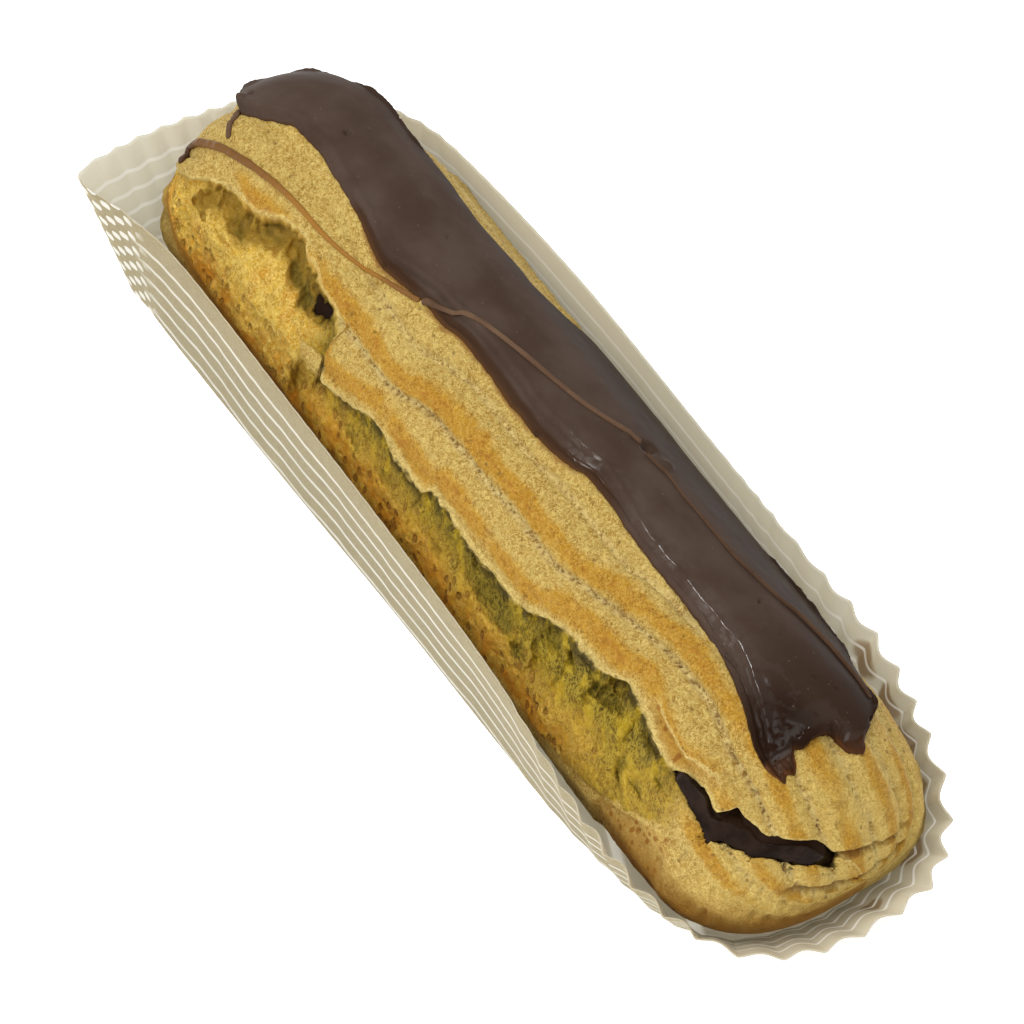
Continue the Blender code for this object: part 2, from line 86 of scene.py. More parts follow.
# The split: its upper edge (the lip) and its lower edge, as (x, distance round the outline)
LIP = np.array([
    (-73, -21), (-68, -19.5), (-62.4, -17.2), (-58.8, -15.2), (-55.2, -13.8), (-51.3, -13.5),
    (-48.6, -12.2), (-44.9, -10.4), (-41.3, -9.7), (-38.6, -11.2), (-36.9, -11.0), (-34.3, -12.1),
    (-28.7, -13.1), (-27.0, -15.0), (-26.4, -20.0), (-25.6, -21.9), (-22.5, -21.5), (-16.8, -19.3),
    (-14.1, -18.6), (-7.6, -19.4), (-1.6, -19.6), (0.3, -18.0), (9, -18.4), (21, -18.0), (25, -16.1),
    (31, -14.3), (37, -13.9), (42, -12.1), (44, -12.5), (53.5, -14.7), (55.6, -13.9), (59.4, -12.9),
    (61.8, -13.8), (62.8, -12.4), (63.4, -11.1), (67.2, -11.2), (70, -8.5), (71.3, -5.9), (73, -5.0),
    (74.5, -3.0),
]) * MM
# The lip's raggedness: the size of each set of waves, and how far it bends the edge
LIP_TEAR = ((3.2 * MM, 0.38 * MM), (1.6 * MM, 0.45 * MM), (0.8 * MM, 0.24 * MM))
LOWER_EDGE = np.array([
    (-73, -22.5), (-67, -26), (-60, -30.5), (-50, -32), (-29, -32), (30, -32.5), (42, -30.5),
    (50, -27), (57, -23), (61, -21.5), (64, -20.5), (68, -18), (71, -15), (73, -12.5), (75, -9.5),
]) * MM
FACE_RECESS = np.array([
    (-71, 0.4), (-66, 1.8), (-58, 2.6), (-50, 3.2), (-34, 3.4), (-30, 1.6), (-26, 2.0), (0, 2.4), (44, 2.4),
    (52, 1.2), (60, 0.2), (75, 0.0),
]) * MM
# Hollows in the torn face: x, distance round, half length, half width, turn in degrees, depth, and whether
# the shade painted inside them is brown (0) or olive (1)
HOLLOWS = np.array([
    (-59.4, -18.8, 2.0, 3.0, 12, 2.8, 0.0), (-31.2, -14.4, 3.0, 1.9, -12, 8.0, 0.9),
    (-29.8, -27.0, 2.3, 5.4, 0, 3.4, 0.3), (-62.0, -23.6, 2.2, 1.3, 30, 0.9, 0.0),
    (-52.4, -20.6, 2.6, 0.7, 8, 0.9, 0.0), (17.0, -21.0, 6.5, 3.4, 0, 1.8, 1.0),
    (20.6, -22.4, 2.6, 1.8, 20, 1.6, 1.0), (24.6, -24.0, 1.9, 1.2, 0, 1.6, 1.0),
    (28.8, -17.0, 3.0, 2.0, -14, 2.2, 0.9), (32.6, -16.6, 2.6, 1.2, -24, 3.0, 1.0),
    (41.2, -15.8, 3.4, 1.5, 10, 3.2, 1.0), (24.5, -23.4, 2.0, 1.0, 0, 2.2, 1.0),
    (37.6, -16.2, 1.4, 1.0, -30, 1.8, 1.0), (12.0, -19.6, 2.6, 0.9, -4, 1.8, 1.0),
    (40.9, -13.4, 2.4, 1.6, 0, 1.6, 0.3), (47.9, -21.8, 1.5, 3.6, 12, 1.8, 0.8),
    (49.6, -14.9, 2.2, 1.2, 0, 1.2, 0.5), (53.6, -17.4, 1.3, 0.9, 0, 0.9, 0.7),
    (51.4, -21.3, 1.5, 1.1, 0, 0.9, 0.7), (13.0, -21.2, 2.0, 1.4, 15, 0.9, 0.8),
    (5.0, -24.5, 2.4, 1.4, 0, 0.9, 0.6), (-8.0, -24.0, 3.0, 1.6, 10, 1.0, 0.5),
    (-16.0, -24.2, 2.8, 1.6, 0, 1.0, 0.6), (33.0, -28.2, 1.2, 2.4, 10, 1.0, 0.0),
    (37.0, -28.4, 1.1, 2.6, 8, 1.1, 0.0), (29.4, -28.6, 1.0, 1.8, 0, 0.8, 0.0),
    (42.0, -27.2, 1.0, 1.7, 0, 0.8, 0.0),
]) * (MM, MM, MM, MM, 1, MM, 1)
# The ragged cavity under the lip beyond the tongue: x, its depth, its width down from the lip, and how olive
# the shade painted in it is
CAVITY = np.array([
    (-61.5, 0.0, 3.0, 0.0), (-57.6, 2.6, 5.0, 0.1), (-55.0, 2.4, 5.4, 0.1), (-52.6, 3.0, 6.4, 0.5),
    (-49.5, 3.4, 7.4, 0.9), (-46.5, 3.4, 6.8, 0.8), (-43.4, 2.8, 6.0, 0.5), (-40.0, 3.0, 6.0, 0.8),
    (-36.0, 3.2, 6.2, 1.0), (-32.0, 3.4, 5.4, 1.0), (-28.8, 1.8, 3.2, 0.7), (-26.6, 0.0, 2.0, 0.3),
]) * (MM, MM, MM, 1)
# Lumps, folds and strands that stand out of the torn face, given like the hollows, with their height last
LUMPS = np.array([
    (-45.0, -23.0, 14.0, 5.0, -4, 1.9), (-60.5, -24.0, 7.0, 5.0, 10, 1.5), (-56.9, -17.6, 0.9, 4.4, 4, 1.2),
    (-48.6, -13.4, 0.9, 3.2, -14, 1.3), (-43.0, -12.4, 1.2, 2.4, 10, 1.2), (-33.6, -19.6, 3.6, 1.6, 0, 1.0),
    (-12.0, -26.5, 22.0, 6.0, 0, 1.6), (14.0, -27.0, 20.0, 6.0, 0, 1.6), (36.0, -26.5, 14.0, 5.5, 0, 1.2),
    (26.4, -22.6, 1.1, 4.6, 8, 1.7), (22.9, -19.6, 1.0, 2.8, -20, 1.3), (31.2, -21.5, 1.2, 4.2, -16, 1.3),
    (36.2, -18.6, 1.6, 3.6, 10, 1.2), (44.6, -17.6, 1.2, 3.6, -12, 1.2), (8.4, -23.4, 1.3, 3.4, 12, 1.2),
    (-2.6, -22.6, 1.1, 3.0, -14, 1.0), (-17.5, -23.6, 1.4, 3.4, 10, 1.1), (14.0, -24.6, 3.0, 1.0, 20, 0.9),
]) * (MM, MM, MM, MM, 1, MM)
# The tongue of crust that bridges the split: x, distance round, half length and half width
TONGUE = (-28.9 * MM, -20.9 * MM, 3.3 * MM, 1.7 * MM)
# The mouth at the near end: its lower edge, and how deep it goes
MOUTH_START = 53.3 * MM
MOUTH_LOW = np.array([
    (53.3, -14.6), (55.8, -15.4), (59.5, -16.6), (61.3, -17.4), (63.5, -18.8), (64.1, -17.2), (65, -16.4),
    (68.4, -15.9), (69.2, -15.1), (70.1, -13.6), (72, -12.4), (72.9, -11.1), (73.6, -9.5), (74.3, -7.0),
]) * MM
MOUTH_DEPTH = 7.0 * MM
# Two crumbly cracks run on round the near end from the mouth, as (y, z)
UPPER_CRACK = np.array([(-6, 23.6), (0.8, 22), (3.7, 20.7), (6.7, 19.4), (14, 17.5)]) * MM
LOWER_CRACK = np.array([(-9, 19.6), (-2, 17.2), (3, 16.6), (8, 16.6), (14, 17.2)]) * MM

# Depths in the crust: the pits that line its grooves, fine pits, pores, the grooves and the cracks
PIT_DEPTH, FINE_PIT_DEPTH, PORE_DEPTH = 0.34 * MM, 0.10 * MM, 0.40 * MM
GROOVE_DEPTH, CRACK_DEPTH = 0.34 * MM, 0.8 * MM
# The height of the flakes beside the grooves
FLAKE_HEIGHT = 0.20 * MM
# The crust's bed under the icing, its shelf just over the lip towards the near end, and how far its back is
# drawn in at the far end, so that it stays inside the paper
ICING_BED, SHELF_STEP, DRAWN_IN = 0.45 * MM, 0.45 * MM, 2.9 * MM

# Filling: a flattened rope of chocolate cream along the shell, by its front, its back, the height of its
# middle and half its own height, each as (x, measure). A blunt power below 1 squares its section
FILLING_FAR, FILLING_NEAR, FILLING_ROUNDING, FILLING_BLUNT = -42.0 * MM, 72.6 * MM, 5 * MM, 0.8
FILLING_FRONT = np.array([(-42, -7), (-39, -11.6), (-36, -12.8), (-31, -11.5), (-24, -8), (40, -8.5),
                          (50, -10.5), (56, -12.6), (61, -13.3), (64, -12.9), (67, -11.2), (70, -8.3),
                          (72.6, -5.6)]) * MM
FILLING_BACK = np.array([(-42, -4), (-38, 2), (0, 7), (50, 7), (64, 5.5), (72.6, -1)]) * MM
FILLING_HEIGHT = np.array([(-42, 21.5), (-36, 21.4), (0, 20.5), (45, 23.4), (55, 25.0), (62, 24.3),
                           (68, 23.8), (72.6, 22.6)]) * MM
FILLING_HALF = np.array([(-42, 1.6), (-38, 2.8), (0, 3.6), (50, 3.2), (62, 2.9), (68, 2.5),
                         (72.6, 1.2)]) * MM

# Icing: a strip over the top. Edges are (x, distance round the outline)
ICING_GAP, ICING_THICKNESS = 0.08 * MM, 1.35 * MM
ICING_FRONT = np.array([
    (-69.8, -5.0), (-65.7, -5.5), (-63.1, -4.9), (-61.3, -4.3), (-59.6, -3.3), (-55.7, -1.8), (-50.8, -1.3),
    (-45.7, -1.7), (-41.5, -2.1), (-36.9, -2.8), (-33.4, -3.6), (-30.3, -4.2), (-27.2, -3.9),
    (-23.8, -3.3), (-20.8, -2.7), (-16.9, -2.7), (-12.7, -1.8), (-6.3, -1.8), (-1.0, -2.1), (6.3, -1.9),
    (10.9, -1.2), (15.1, 0.1), (19.7, 0.2), (24.5, -0.3), (29.9, -0.4), (35.0, -0.2), (39.2, -0.3),
    (45.5, -0.5), (50.1, -1.5), (53.8, -2.5), (57.5, -3.9), (59.8, -4.7), (62.5, -5.2), (66, -5.3),
]) * MM
ICING_BACK = np.array([
    (-70, 9), (-62, 12), (-55, 15.0), (-20, 15.5), (-14, 19.0), (-8, 24.0), (0, 25.0), (44, 25.0),
    (54, 21.0), (64, 15.0),
]) * MM
# Its two ends, as (share of the way from the front edge to the back edge, x)
ICING_FAR_END = np.array([(0, -64.9), (0.04, -66.4), (0.1, -67.9), (0.18, -68.9), (0.3, -69.5),
                          (0.46, -69.2), (0.66, -68.6), (0.85, -67.3), (1, -65.0)]) * (1, MM)
ICING_NEAR_END = np.array([(0, 60.5), (0.01, 62.4), (0.03, 63.6), (0.055, 64.7), (0.1, 64.1), (0.15, 64.6),
                           (0.19, 63.8), (0.23, 62.2), (0.30, 62.4), (0.39, 62.0), (0.48, 62.1),
                           (0.545, 62.6), (0.565, 64.6), (0.60, 65.3), (0.70, 65.6), (0.74, 64.7),
                           (0.84, 63.0), (0.96, 60.3), (1, 58.5)]) * (1, MM)
# Width of the low ledge along its front edge, and where that ledge is so thin that it shows red
LEDGE_WIDTH = np.array([(-66, 0.5), (-58, 0.7), (-45, 0.8), (-36, 0.9), (-30, 1.2), (-26, 2.0), (-18, 2.3),
                        (-4, 2.3), (6, 2.6), (13, 2.3), (18, 1.4), (26, 1.0), (40, 1.2), (50, 1.8),
                        (58, 1.5), (64, 0.8)]) * MM
LEDGE_THIN = np.array([
    (-66, 0.1), (-42, 0.2), (-33, 0.9), (-26, 0.9), (-22, 0.4), (-18, 1.0), (-13, 0.9), (-8, 0.7), (-2, 0.9),
    (4, 0.7), (8, 0.8), (14, 0.7), (20, 0.4), (27, 0.1), (66, 0.0),
]) * (MM, 1)

# Drizzled threads, as (x, distance round, radius) at even steps
CRUST_THREAD = np.array([
    (-67.5, -17.6, 0.62), (-69.2, -17.2, 0.60), (-69.4, -15.4, 0.56), (-67.8, -13.6, 0.60),
    (-65.9, -12.5, 0.62), (-62.2, -11.2, 0.60), (-58.3, -10.3, 0.56), (-53.9, -9.2, 0.50),
    (-49.7, -8.4, 0.44), (-45.5, -7.9, 0.40), (-40.7, -7.7, 0.36), (-36.9, -7.3, 0.34),
    (-32.8, -6.5, 0.32), (-30.0, -5.7, 0.32), (-27.6, -4.9, 0.34), (-24.6, -4.1, 0.36),
    (-21.6, -3.0, 0.40),
]) * MM
LEFT_THREAD = np.array([
    (-21.4, -2.8, 0.52), (-19.6, -1.8, 0.48), (-17.0, -0.3, 0.42), (-13.1, 1.5, 0.40), (-7.1, 3.0, 0.40),
    (-1.8, 4.1, 0.40), (4.1, 5.6, 0.38), (8.3, 7.6, 0.40), (11.2, 9.2, 0.42), (12.6, 9.6, 0.36)]) * MM
RIGHT_THREAD = np.array([
    (14.6, 9.0, 0.40), (17.1, 9.5, 0.36), (19.0, 9.9, 0.30), (22.0, 9.7, 0.28), (26.8, 9.8, 0.32),
    (31.9, 9.9, 0.36), (36.0, 10.6, 0.34), (39.3, 11.4, 0.36), (42.0, 12.5, 0.40), (44.5, 14.2, 0.44),
    (47.6, 15.6, 0.44), (50.6, 16.4, 0.42), (53.9, 16.6, 0.40), (57.0, 16.4, 0.38), (58.5, 16.2, 0.32),
]) * MM
DRIBBLE = np.array([(-66.4, -5.0, 0.66), (-65.2, -6.0, 0.52), (-64.2, -7.2, 0.46), (-63.0, -8.4, 0.44),
                    (-61.8, -9.4, 0.34)]) * MM
# Marks in the icing: x, distance round, radius and depth (below 0 is a bump)
ICING_MARKS = np.array([
    (-50.9, 3.4, 0.75, 0.8), (-48.2, 5.6, 0.4, 0.3), (-28.5, 5.5, 0.6, 0.7), (-31.6, 2.6, 0.4, 0.3),
    (41.7, 8.5, 0.55, 0.9), (13.4, 10.4, 1.5, 1.1), (16.6, 11.6, 1.3, -0.5), (11.0, 8.2, 1.0, -0.35),
    (45.6, 6.0, 0.8, -0.25), (47.5, 7.2, 0.5, 0.2), (55.0, 7.4, 0.6, 0.25), (57.2, 9.4, 0.5, 0.25),
    (-18.6, -0.2, 1.0, -0.4), (-17.4, 1.2, 0.6, 0.3), (-65.9, -4.1, 1.3, -0.7), (-65.3, -2.6, 0.6, 0.5),
]) * MM

# Paper case: base x and y, rim x and y, rim height and depth of pleats, in rows round it from the far front
CASE = np.array([
    (-69, -24.2, -75.5, -27.1, 19, 0.1), (-62, -24.6, -66, -24.8, 19, 0.1),
    (-50, -24.4, -54, -22.9, 19, 0.05), (-25, -23.5, -25, -22.4, 19, 0.05),
    (0, -22.3, 0, -22.1, 19, 0.05), (25, -21.6, 25, -22.4, 19, 0.05),
    (40, -20.9, 40, -23.0, 17, 0.5), (52, -19.2, 53, -22.6, 14.5, 1.2), (61, -16.8, 64, -20.8, 13, 1.2),
    (67, -11.9, 74, -16.2, 13, 1.0), (70, -4, 79.0, -7.5, 13, 1.0), (70.5, 3, 79.8, 3, 13, 1.2),
    (68.5, 10.8, 77.8, 11.2, 13, 1.4), (63, 17.6, 70.2, 18.0, 13.5, 1.5), (53, 21.3, 57.5, 22.2, 14.5, 1.4),
    (42, 21.9, 45, 24.2, 15, 1.2), (32, 22.0, 33, 23.2, 17.5, 0.5), (10, 22.0, 10, 22.6, 19, 0.05),
    (-20, 21.8, -20, 22.6, 19, 0.05), (-45, 20.6, -45, 21.2, 18.6, 0.05), (-57.5, 18.4, -58.3, 19.0, 18, 0.3),
    (-66, 12.6, -67.8, 13.0, 17.5, 0.5), (-71.5, 5, -73.8, 4.6, 17.8, 0.55),
    (-72.6, -5, -76.3, -7, 18.4, 0.55), (-71.6, -16, -76.9, -18.6, 19, 0.5),
]) * MM
PAPER_THICKNESS = 0.22 * MM
WIDE_PLEAT, NARROW_PLEAT = 5.4 * MM, 3.6 * MM
# Grease stains on the paper: x, y, z and radius
STAINS = np.array([(46, 23.6, 10, 4.5), (52.5, 22.6, 9, 4.2), (59, 20.6, 8, 4.8), (65, 17.8, 7, 4.6),
                   (71, 12.5, 7, 4.0), (76, 4, 6, 3.2), (78, -6, 5, 3.2)]) * MM

# Colours, as the 0 to 255 levels that they show as
GOLD = Shades(dark=(150, 112, 38), light=(190, 154, 74), patch=(160, 118, 46), cloud=(206, 176, 100),
              net=(224, 199, 118), near_end=(236, 202, 108), groove=(228, 208, 142), shelf=(176, 134, 60),
              oval=(146, 92, 26), lip=(226, 202, 126), fleck=(140, 102, 46), pit=(134, 96, 44),
              rare=(110, 80, 38), soaked=(134, 86, 36), baked=(168, 112, 34), crack=(118, 74, 26))
AMBER = Shades(dark=(146, 94, 6), light=(188, 137, 22), net=(214, 170, 70), grain=(164, 100, 24))
TAN = Shades(dark=(176, 129, 22), light=(218, 175, 62), patch=(198, 132, 18), net=(246, 220, 126))
SPONGE = Shades(dark=(80, 61, 4), light=(138, 110, 14), wool=(182, 148, 6))
MOSS = Shades(dark=(74, 64, 20), light=(118, 106, 40))
CRUMB = Shades(dug=(136, 98, 16), hair=(200, 173, 58), shaded=(60, 48, 16), deep=(92, 80, 36),
               low=(196, 140, 34), low_net=(226, 190, 96), by_paper=(186, 120, 22), oval=(140, 88, 26))
CREAM = Shades(dark=(38, 26, 20), light=(52, 38, 30), mouth_dark=(28, 18, 13), mouth_light=(50, 36, 28))
ICING = Shades(dark=(72, 56, 47), light=(85, 70, 61), near_end=(52, 36, 27), near_front=(34, 20, 12),
               back=(42, 26, 16), speck=(118, 98, 84), film=(66, 44, 29), thin_film=(88, 60, 34),
               drip=(72, 44, 25), drip_edge=(108, 62, 28), edge=(84, 54, 32))
DRIZZLE = Shades(dark=(96, 72, 56), light=(112, 88, 68), right_dark=(78, 57, 44), right_light=(90, 68, 52),
                 start=(80, 56, 40), thin=(120, 82, 42), thinnest=(166, 116, 42), top=(112, 76, 44))
PAPER = Shades(dark=(142, 131, 100), light=(154, 143, 113), mottle=(132, 120, 90), inside=(212, 206, 186),
               near_end=(152, 139, 112), stain=(126, 96, 50), printed=(230, 226, 214))
# Index of refraction of the soft brown chocolate: low, so that its slopes stay dark
SOFT_IOR = 1.06


def through(knots, at):
    """Smooth value at `at` through (position, value) knots: cubic pieces that never overshoot a knot."""
    place, value = np.asarray(knots, float).T
    step = np.diff(value) / np.diff(place)
    slope = np.zeros_like(value)
    same = step[:-1] * step[1:] > 0
    slope[1:-1][same] = 2 * step[:-1][same] * step[1:][same] / (step[:-1] + step[1:])[same]
    at = np.clip(at, place[0], place[-1])
    i = np.clip(np.searchsorted(place, at, side="right") - 1, 0, len(place) - 2)
    span = place[i + 1] - place[i]
    t = (at - place[i]) / span
    return (value[i] * (1 + 2 * t) * (1 - t) ** 2 + slope[i] * span * t * (1 - t) ** 2
            + value[i + 1] * t * t * (3 - 2 * t) + slope[i + 1] * span * t * t * (t - 1))


def eased(value, start, stop):
    """0 before start, 1 after stop, and 3t^2 - 2t^3 between."""
    t = np.clip((value - start) / (stop - start), 0, 1)
    return t * t * (3 - 2 * t)


SLOPES = np.random.default_rng(4).normal(size=(256, 3))
SLOPES /= np.linalg.norm(SLOPES, axis=1, keepdims=True)


def scrambled(cell, seed):
    """A whole number from 0 to 255 for each lattice cell: its counts times large odd numbers, mixed."""
    mask, mixed = 0xFFFFFFFF, seed * 26544357
    for axis, odd in enumerate((73856093, 19349663, 83492791)):
        mixed = mixed ^ cell[..., axis] * odd
    mixed = mixed & mask
    mixed = ((mixed ^ (mixed >> 15)) * 739982445) & mask
    return ((mixed ^ (mixed >> 12)) >> 5) & 255


def waves(points, size, seed):
    """Gradient noise, about -1 to 1: seeded random slopes on a cubic lattice, blended by a quintic."""
    place = np.asarray(points, float) / size
    cell = np.floor(place).astype(np.int64)
    t = place - cell
    fade = t**3 * (t * (t * 6 - 15) + 10)
    total = np.zeros(place.shape[:-1])
    for corner in itertools.product((0, 1), repeat=3):
        corner = np.array(corner)
        share = np.prod(np.where(corner == 1, fade, 1 - fade), axis=-1)
        total += share * ((t - corner) * SLOPES[scrambled(cell + corner, seed)]).sum(-1)
    return total * 1.5


def roughness(points, size, layers, seed, keep):
    """Layers of waves, each half the size and `keep` times the height of the one before."""
    return sum(keep**k * waves(points, size / 2**k, seed + k) for k in range(layers))


def pore_distance(points, size, seed):
    """Distance, in cells, to the nearest of one seeded random point in each cell of a cubic lattice."""
    place = np.asarray(points, float) / size
    cell = np.floor(place).astype(np.int64)
    best = np.full(place.shape[:-1], 9.0)
    for step in itertools.product((-1, 0, 1), repeat=3):
        there = cell + np.array(step)
        jitter = np.stack([scrambled(there, seed + k) / 255 for k in (11, 23, 37)], -1)
        best = np.minimum(best, ((there + jitter - place) ** 2).sum(-1))
    return np.sqrt(best)


def closed_curve(corners, steps):
    """Points of the closed Catmull-Rom curve through the corners, this many steps from each to the next:
    cubic pieces whose slope at a corner is half of the way from the corner before to the corner after."""
    a, b, c, d = (np.roll(corners, k, 0)[:, None, :] for k in (1, 0, -1, -2))
    t = np.linspace(0, 1, steps, endpoint=False)[None, :, None]
    curve = 0.5 * (2 * b + (c - a) * t + (2 * a - 5 * b + 4 * c - d) * t**2
                   + (3 * b - a - 3 * c + d) * t**3)
    return curve.reshape(-1, corners.shape[1])


def travelled(points):
    """Distance along a line of points, from the first to each."""
    return np.concatenate([[0], np.cumsum(np.linalg.norm(np.diff(points, axis=0), axis=1))])


def measured_outline(corners):
    """Closed curve through the corners: distance round it from its highest point, y and z."""
    curve = closed_curve(corners, 40)
    curve = np.roll(curve, -np.argmax(curve[:, 1]), 0)[::-1]
    curve = np.roll(curve, 1, 0)
    curve = np.vstack([curve, curve[:1]])
    return travelled(curve), curve[:, 0], curve[:, 1]


ROUND, ROUND_Y, ROUND_Z = measured_outline(SHELL_OUTLINE)
GIRTH = ROUND[-1]


def end_share(x, end, which):
    """1 along the body, falling to 0 at the tip on a superellipse."""
    length, power = end[which]
    reach = np.clip((np.abs(x) - (abs(end["tip"]) - length)) / length, 0, 1)
    return (1 - reach**power) ** (1 / power)


def crust(x, s):
    """Points of the smooth shell surface at length x and distance s round the outline."""
    x, s = np.broadcast_arrays(x, s)
    y, z = (np.interp(np.mod(s, GIRTH), ROUND, axis) for axis in (ROUND_Y, ROUND_Z))
    for end, there in ((NEAR_END, x > 0), (FAR_END, x <= 0)):
        my, mz = end["middle"]
        plan = np.where(y < my, end_share(x, end, "front"), end_share(x, end, "back"))
        y = np.where(there, my + (y - my) * plan, y)
        z = np.where(there, mz + (z - mz) * end_share(x, end, "height"), z)
    return np.stack([x, y, z], -1)


def unit(vectors):
    """Vectors divided by their lengths."""
    return vectors / np.maximum(np.linalg.norm(vectors, axis=-1, keepdims=True), 1e-12)


def outward(x, s):
    """Unit normals of the smooth shell surface, from its slopes along and round."""
    step = 0.2 * MM
    along = crust(x + step, s) - crust(x - step, s)
    across = crust(x, s + 2 * step) - crust(x, s - 2 * step)
    return unit(np.cross(along, across))


def ring_normals(grid):
    """Unit normals of a grid of rings, each closed on itself, from differences of its neighbours."""
    along = np.gradient(grid, axis=0)
    across = np.roll(grid, -1, 1) - np.roll(grid, 1, 1)
    return unit(np.cross(along, across))


def girth_share(x):
    """How wide the shell is at x, as a share: 1 along the body, falling to 0 at the tips."""
    return np.where(x > 0, end_share(x, NEAR_END, "front"), end_share(x, FAR_END, "height"))


def off_tips(x):
    """0 at the tips, rising with the shell's width to 1."""
    return np.clip(girth_share(x) * 1.6, 0, 1)


def flat(x, s):
    """Points of a plane with length and distance round as its axes, for patterns that follow them."""
    x, s = np.broadcast_arrays(x, s)
    return np.stack([x, s, np.zeros_like(x)], -1)


def rings(name, grid, first, last, readings, finish):
    """A closed mesh from a grid of rings, (rows, columns, 3): quads between neighbouring rings, and a fan of
    triangles from each pole to its end ring. `readings` are attributes; a pole has its ring's mean."""
    rows, columns = grid.shape[:2]
    points = np.concatenate([[first], grid.reshape(-1, 3), [last]])
    i, j = np.meshgrid(np.arange(rows - 1), np.arange(columns), indexing="ij")
    a, b = (1 + i * columns + j).ravel(), (1 + i * columns + (j + 1) % columns).ravel()
    quads = np.stack([a, b, b + columns, a + columns], -1)
    ring, after = np.arange(columns), (np.arange(columns) + 1) % columns
    base = 1 + (rows - 1) * columns
    fans = np.concatenate([
        np.stack([np.zeros_like(ring), 1 + after, 1 + ring], -1),
        np.stack([np.full_like(ring, 1 + rows * columns), base + ring, base + after], -1)])
    readings = {key: np.broadcast_to(value, (rows, columns)) for key, value in readings.items()}
    return mesh_piece(name, points, quads, fans, {
        key: np.concatenate([[value[0].mean()], value.ravel(), [value[-1].mean()]])
        for key, value in readings.items()}, finish)


def mesh_piece(name, points, quads, triangles, readings, finish):
    """An object at the origin from arrays of points, quads, triangles and readings, one number a point. If
    the volume, the sum of the corners' triple products, comes out below 0, the faces are turned round."""
    corners = np.concatenate([points[quads[:, [0, 1, 2]]], points[quads[:, [0, 2, 3]]], points[triangles]])
    if np.einsum("ij,ij->", corners[:, 0], np.cross(corners[:, 1], corners[:, 2])) < 0:
        quads, triangles = quads[:, ::-1], triangles[:, ::-1]
    mesh = bpy.data.meshes.new(name)
    mesh.vertices.add(len(points))
    mesh.vertices.foreach_set("co", points.astype(np.float32).ravel())
    loops = np.concatenate([quads.ravel(), triangles.ravel()])
    mesh.loops.add(len(loops))
    mesh.loops.foreach_set("vertex_index", loops.astype(np.int32))
    mesh.polygons.add(len(quads) + len(triangles))
    starts = np.concatenate([np.arange(len(quads)) * 4, quads.size + np.arange(len(triangles)) * 3])
    mesh.polygons.foreach_set("loop_start", starts.astype(np.int32))
    mesh.update(calc_edges=True)
    mesh.validate()
    for key, value in readings.items():
        mesh.attributes.new(key, "FLOAT", "POINT").data.foreach_set("value", value.astype(np.float32))
    mesh.shade_smooth()
    mesh.materials.append(finish)
    piece = bpy.data.objects.new(name, mesh)
    bpy.context.scene.collection.objects.link(piece)
    return piece


def linear(red, green, blue):
    """The colour that shows as these 0 to 255 levels, as the linear numbers that shaders take."""
    level = np.array([red, green, blue]) / 255
    return (*np.where(level < 0.04045, level / 12.92, ((level + 0.055) / 1.055) ** 2.4), 1.0)


class Number:
    """A number socket of a material. Arithmetic on it, in either order, adds Math nodes."""

    def __init__(self, recipe, socket):
        self.recipe, self.socket = recipe, socket

    def joined(self, operation, *terms):
        node = self.recipe.add("Math", {"operation": operation}, dict(enumerate(terms)))
        return Number(self.recipe, node.outputs[0])

    def __add__(self, other):
        return self.joined("ADD", self, other)

    def __sub__(self, other):
        return self.joined("SUBTRACT", self, other)

    def __rsub__(self, other):
        return self.joined("SUBTRACT", other, self)

    def __mul__(self, other):
        return self.joined("MULTIPLY", self, other)

    def __truediv__(self, other):
        return self.joined("DIVIDE", self, other)

    def __rtruediv__(self, other):
        return self.joined("DIVIDE", other, self)

    def __pow__(self, other):
        return self.joined("POWER", self, other)

    def __rpow__(self, other):
        return self.joined("POWER", other, self)

    __radd__, __rmul__ = __add__, __mul__

    def size(self):
        return self.joined("ABSOLUTE", self)

    def least(self, other):
        return self.joined("MINIMUM", self, other)

    def most(self, other):
        return self.joined("MAXIMUM", self, other)

    def sine(self):
        return self.joined("SINE", self)

    def rise(self, start, stop):
        """0 before start, 1 after stop, smooth between; it falls where start is above stop."""
        low, high, first, last = (start, stop, 0.0, 1.0) if start < stop else (stop, start, 1.0, 0.0)
        node = self.recipe.add("MapRange", {"interpolation_type": "SMOOTHSTEP"}, {
            "Value": self, "From Min": low, "From Max": high, "To Min": first, "To Max": last})
        return Number(self.recipe, node.outputs[0])

    def crossing(self, wide, narrow):
        """Thin lines: 1 where the number is a half, within `narrow` of it, and 0 from `wide` away on."""
        return (self - 0.5).size().rise(wide, narrow)


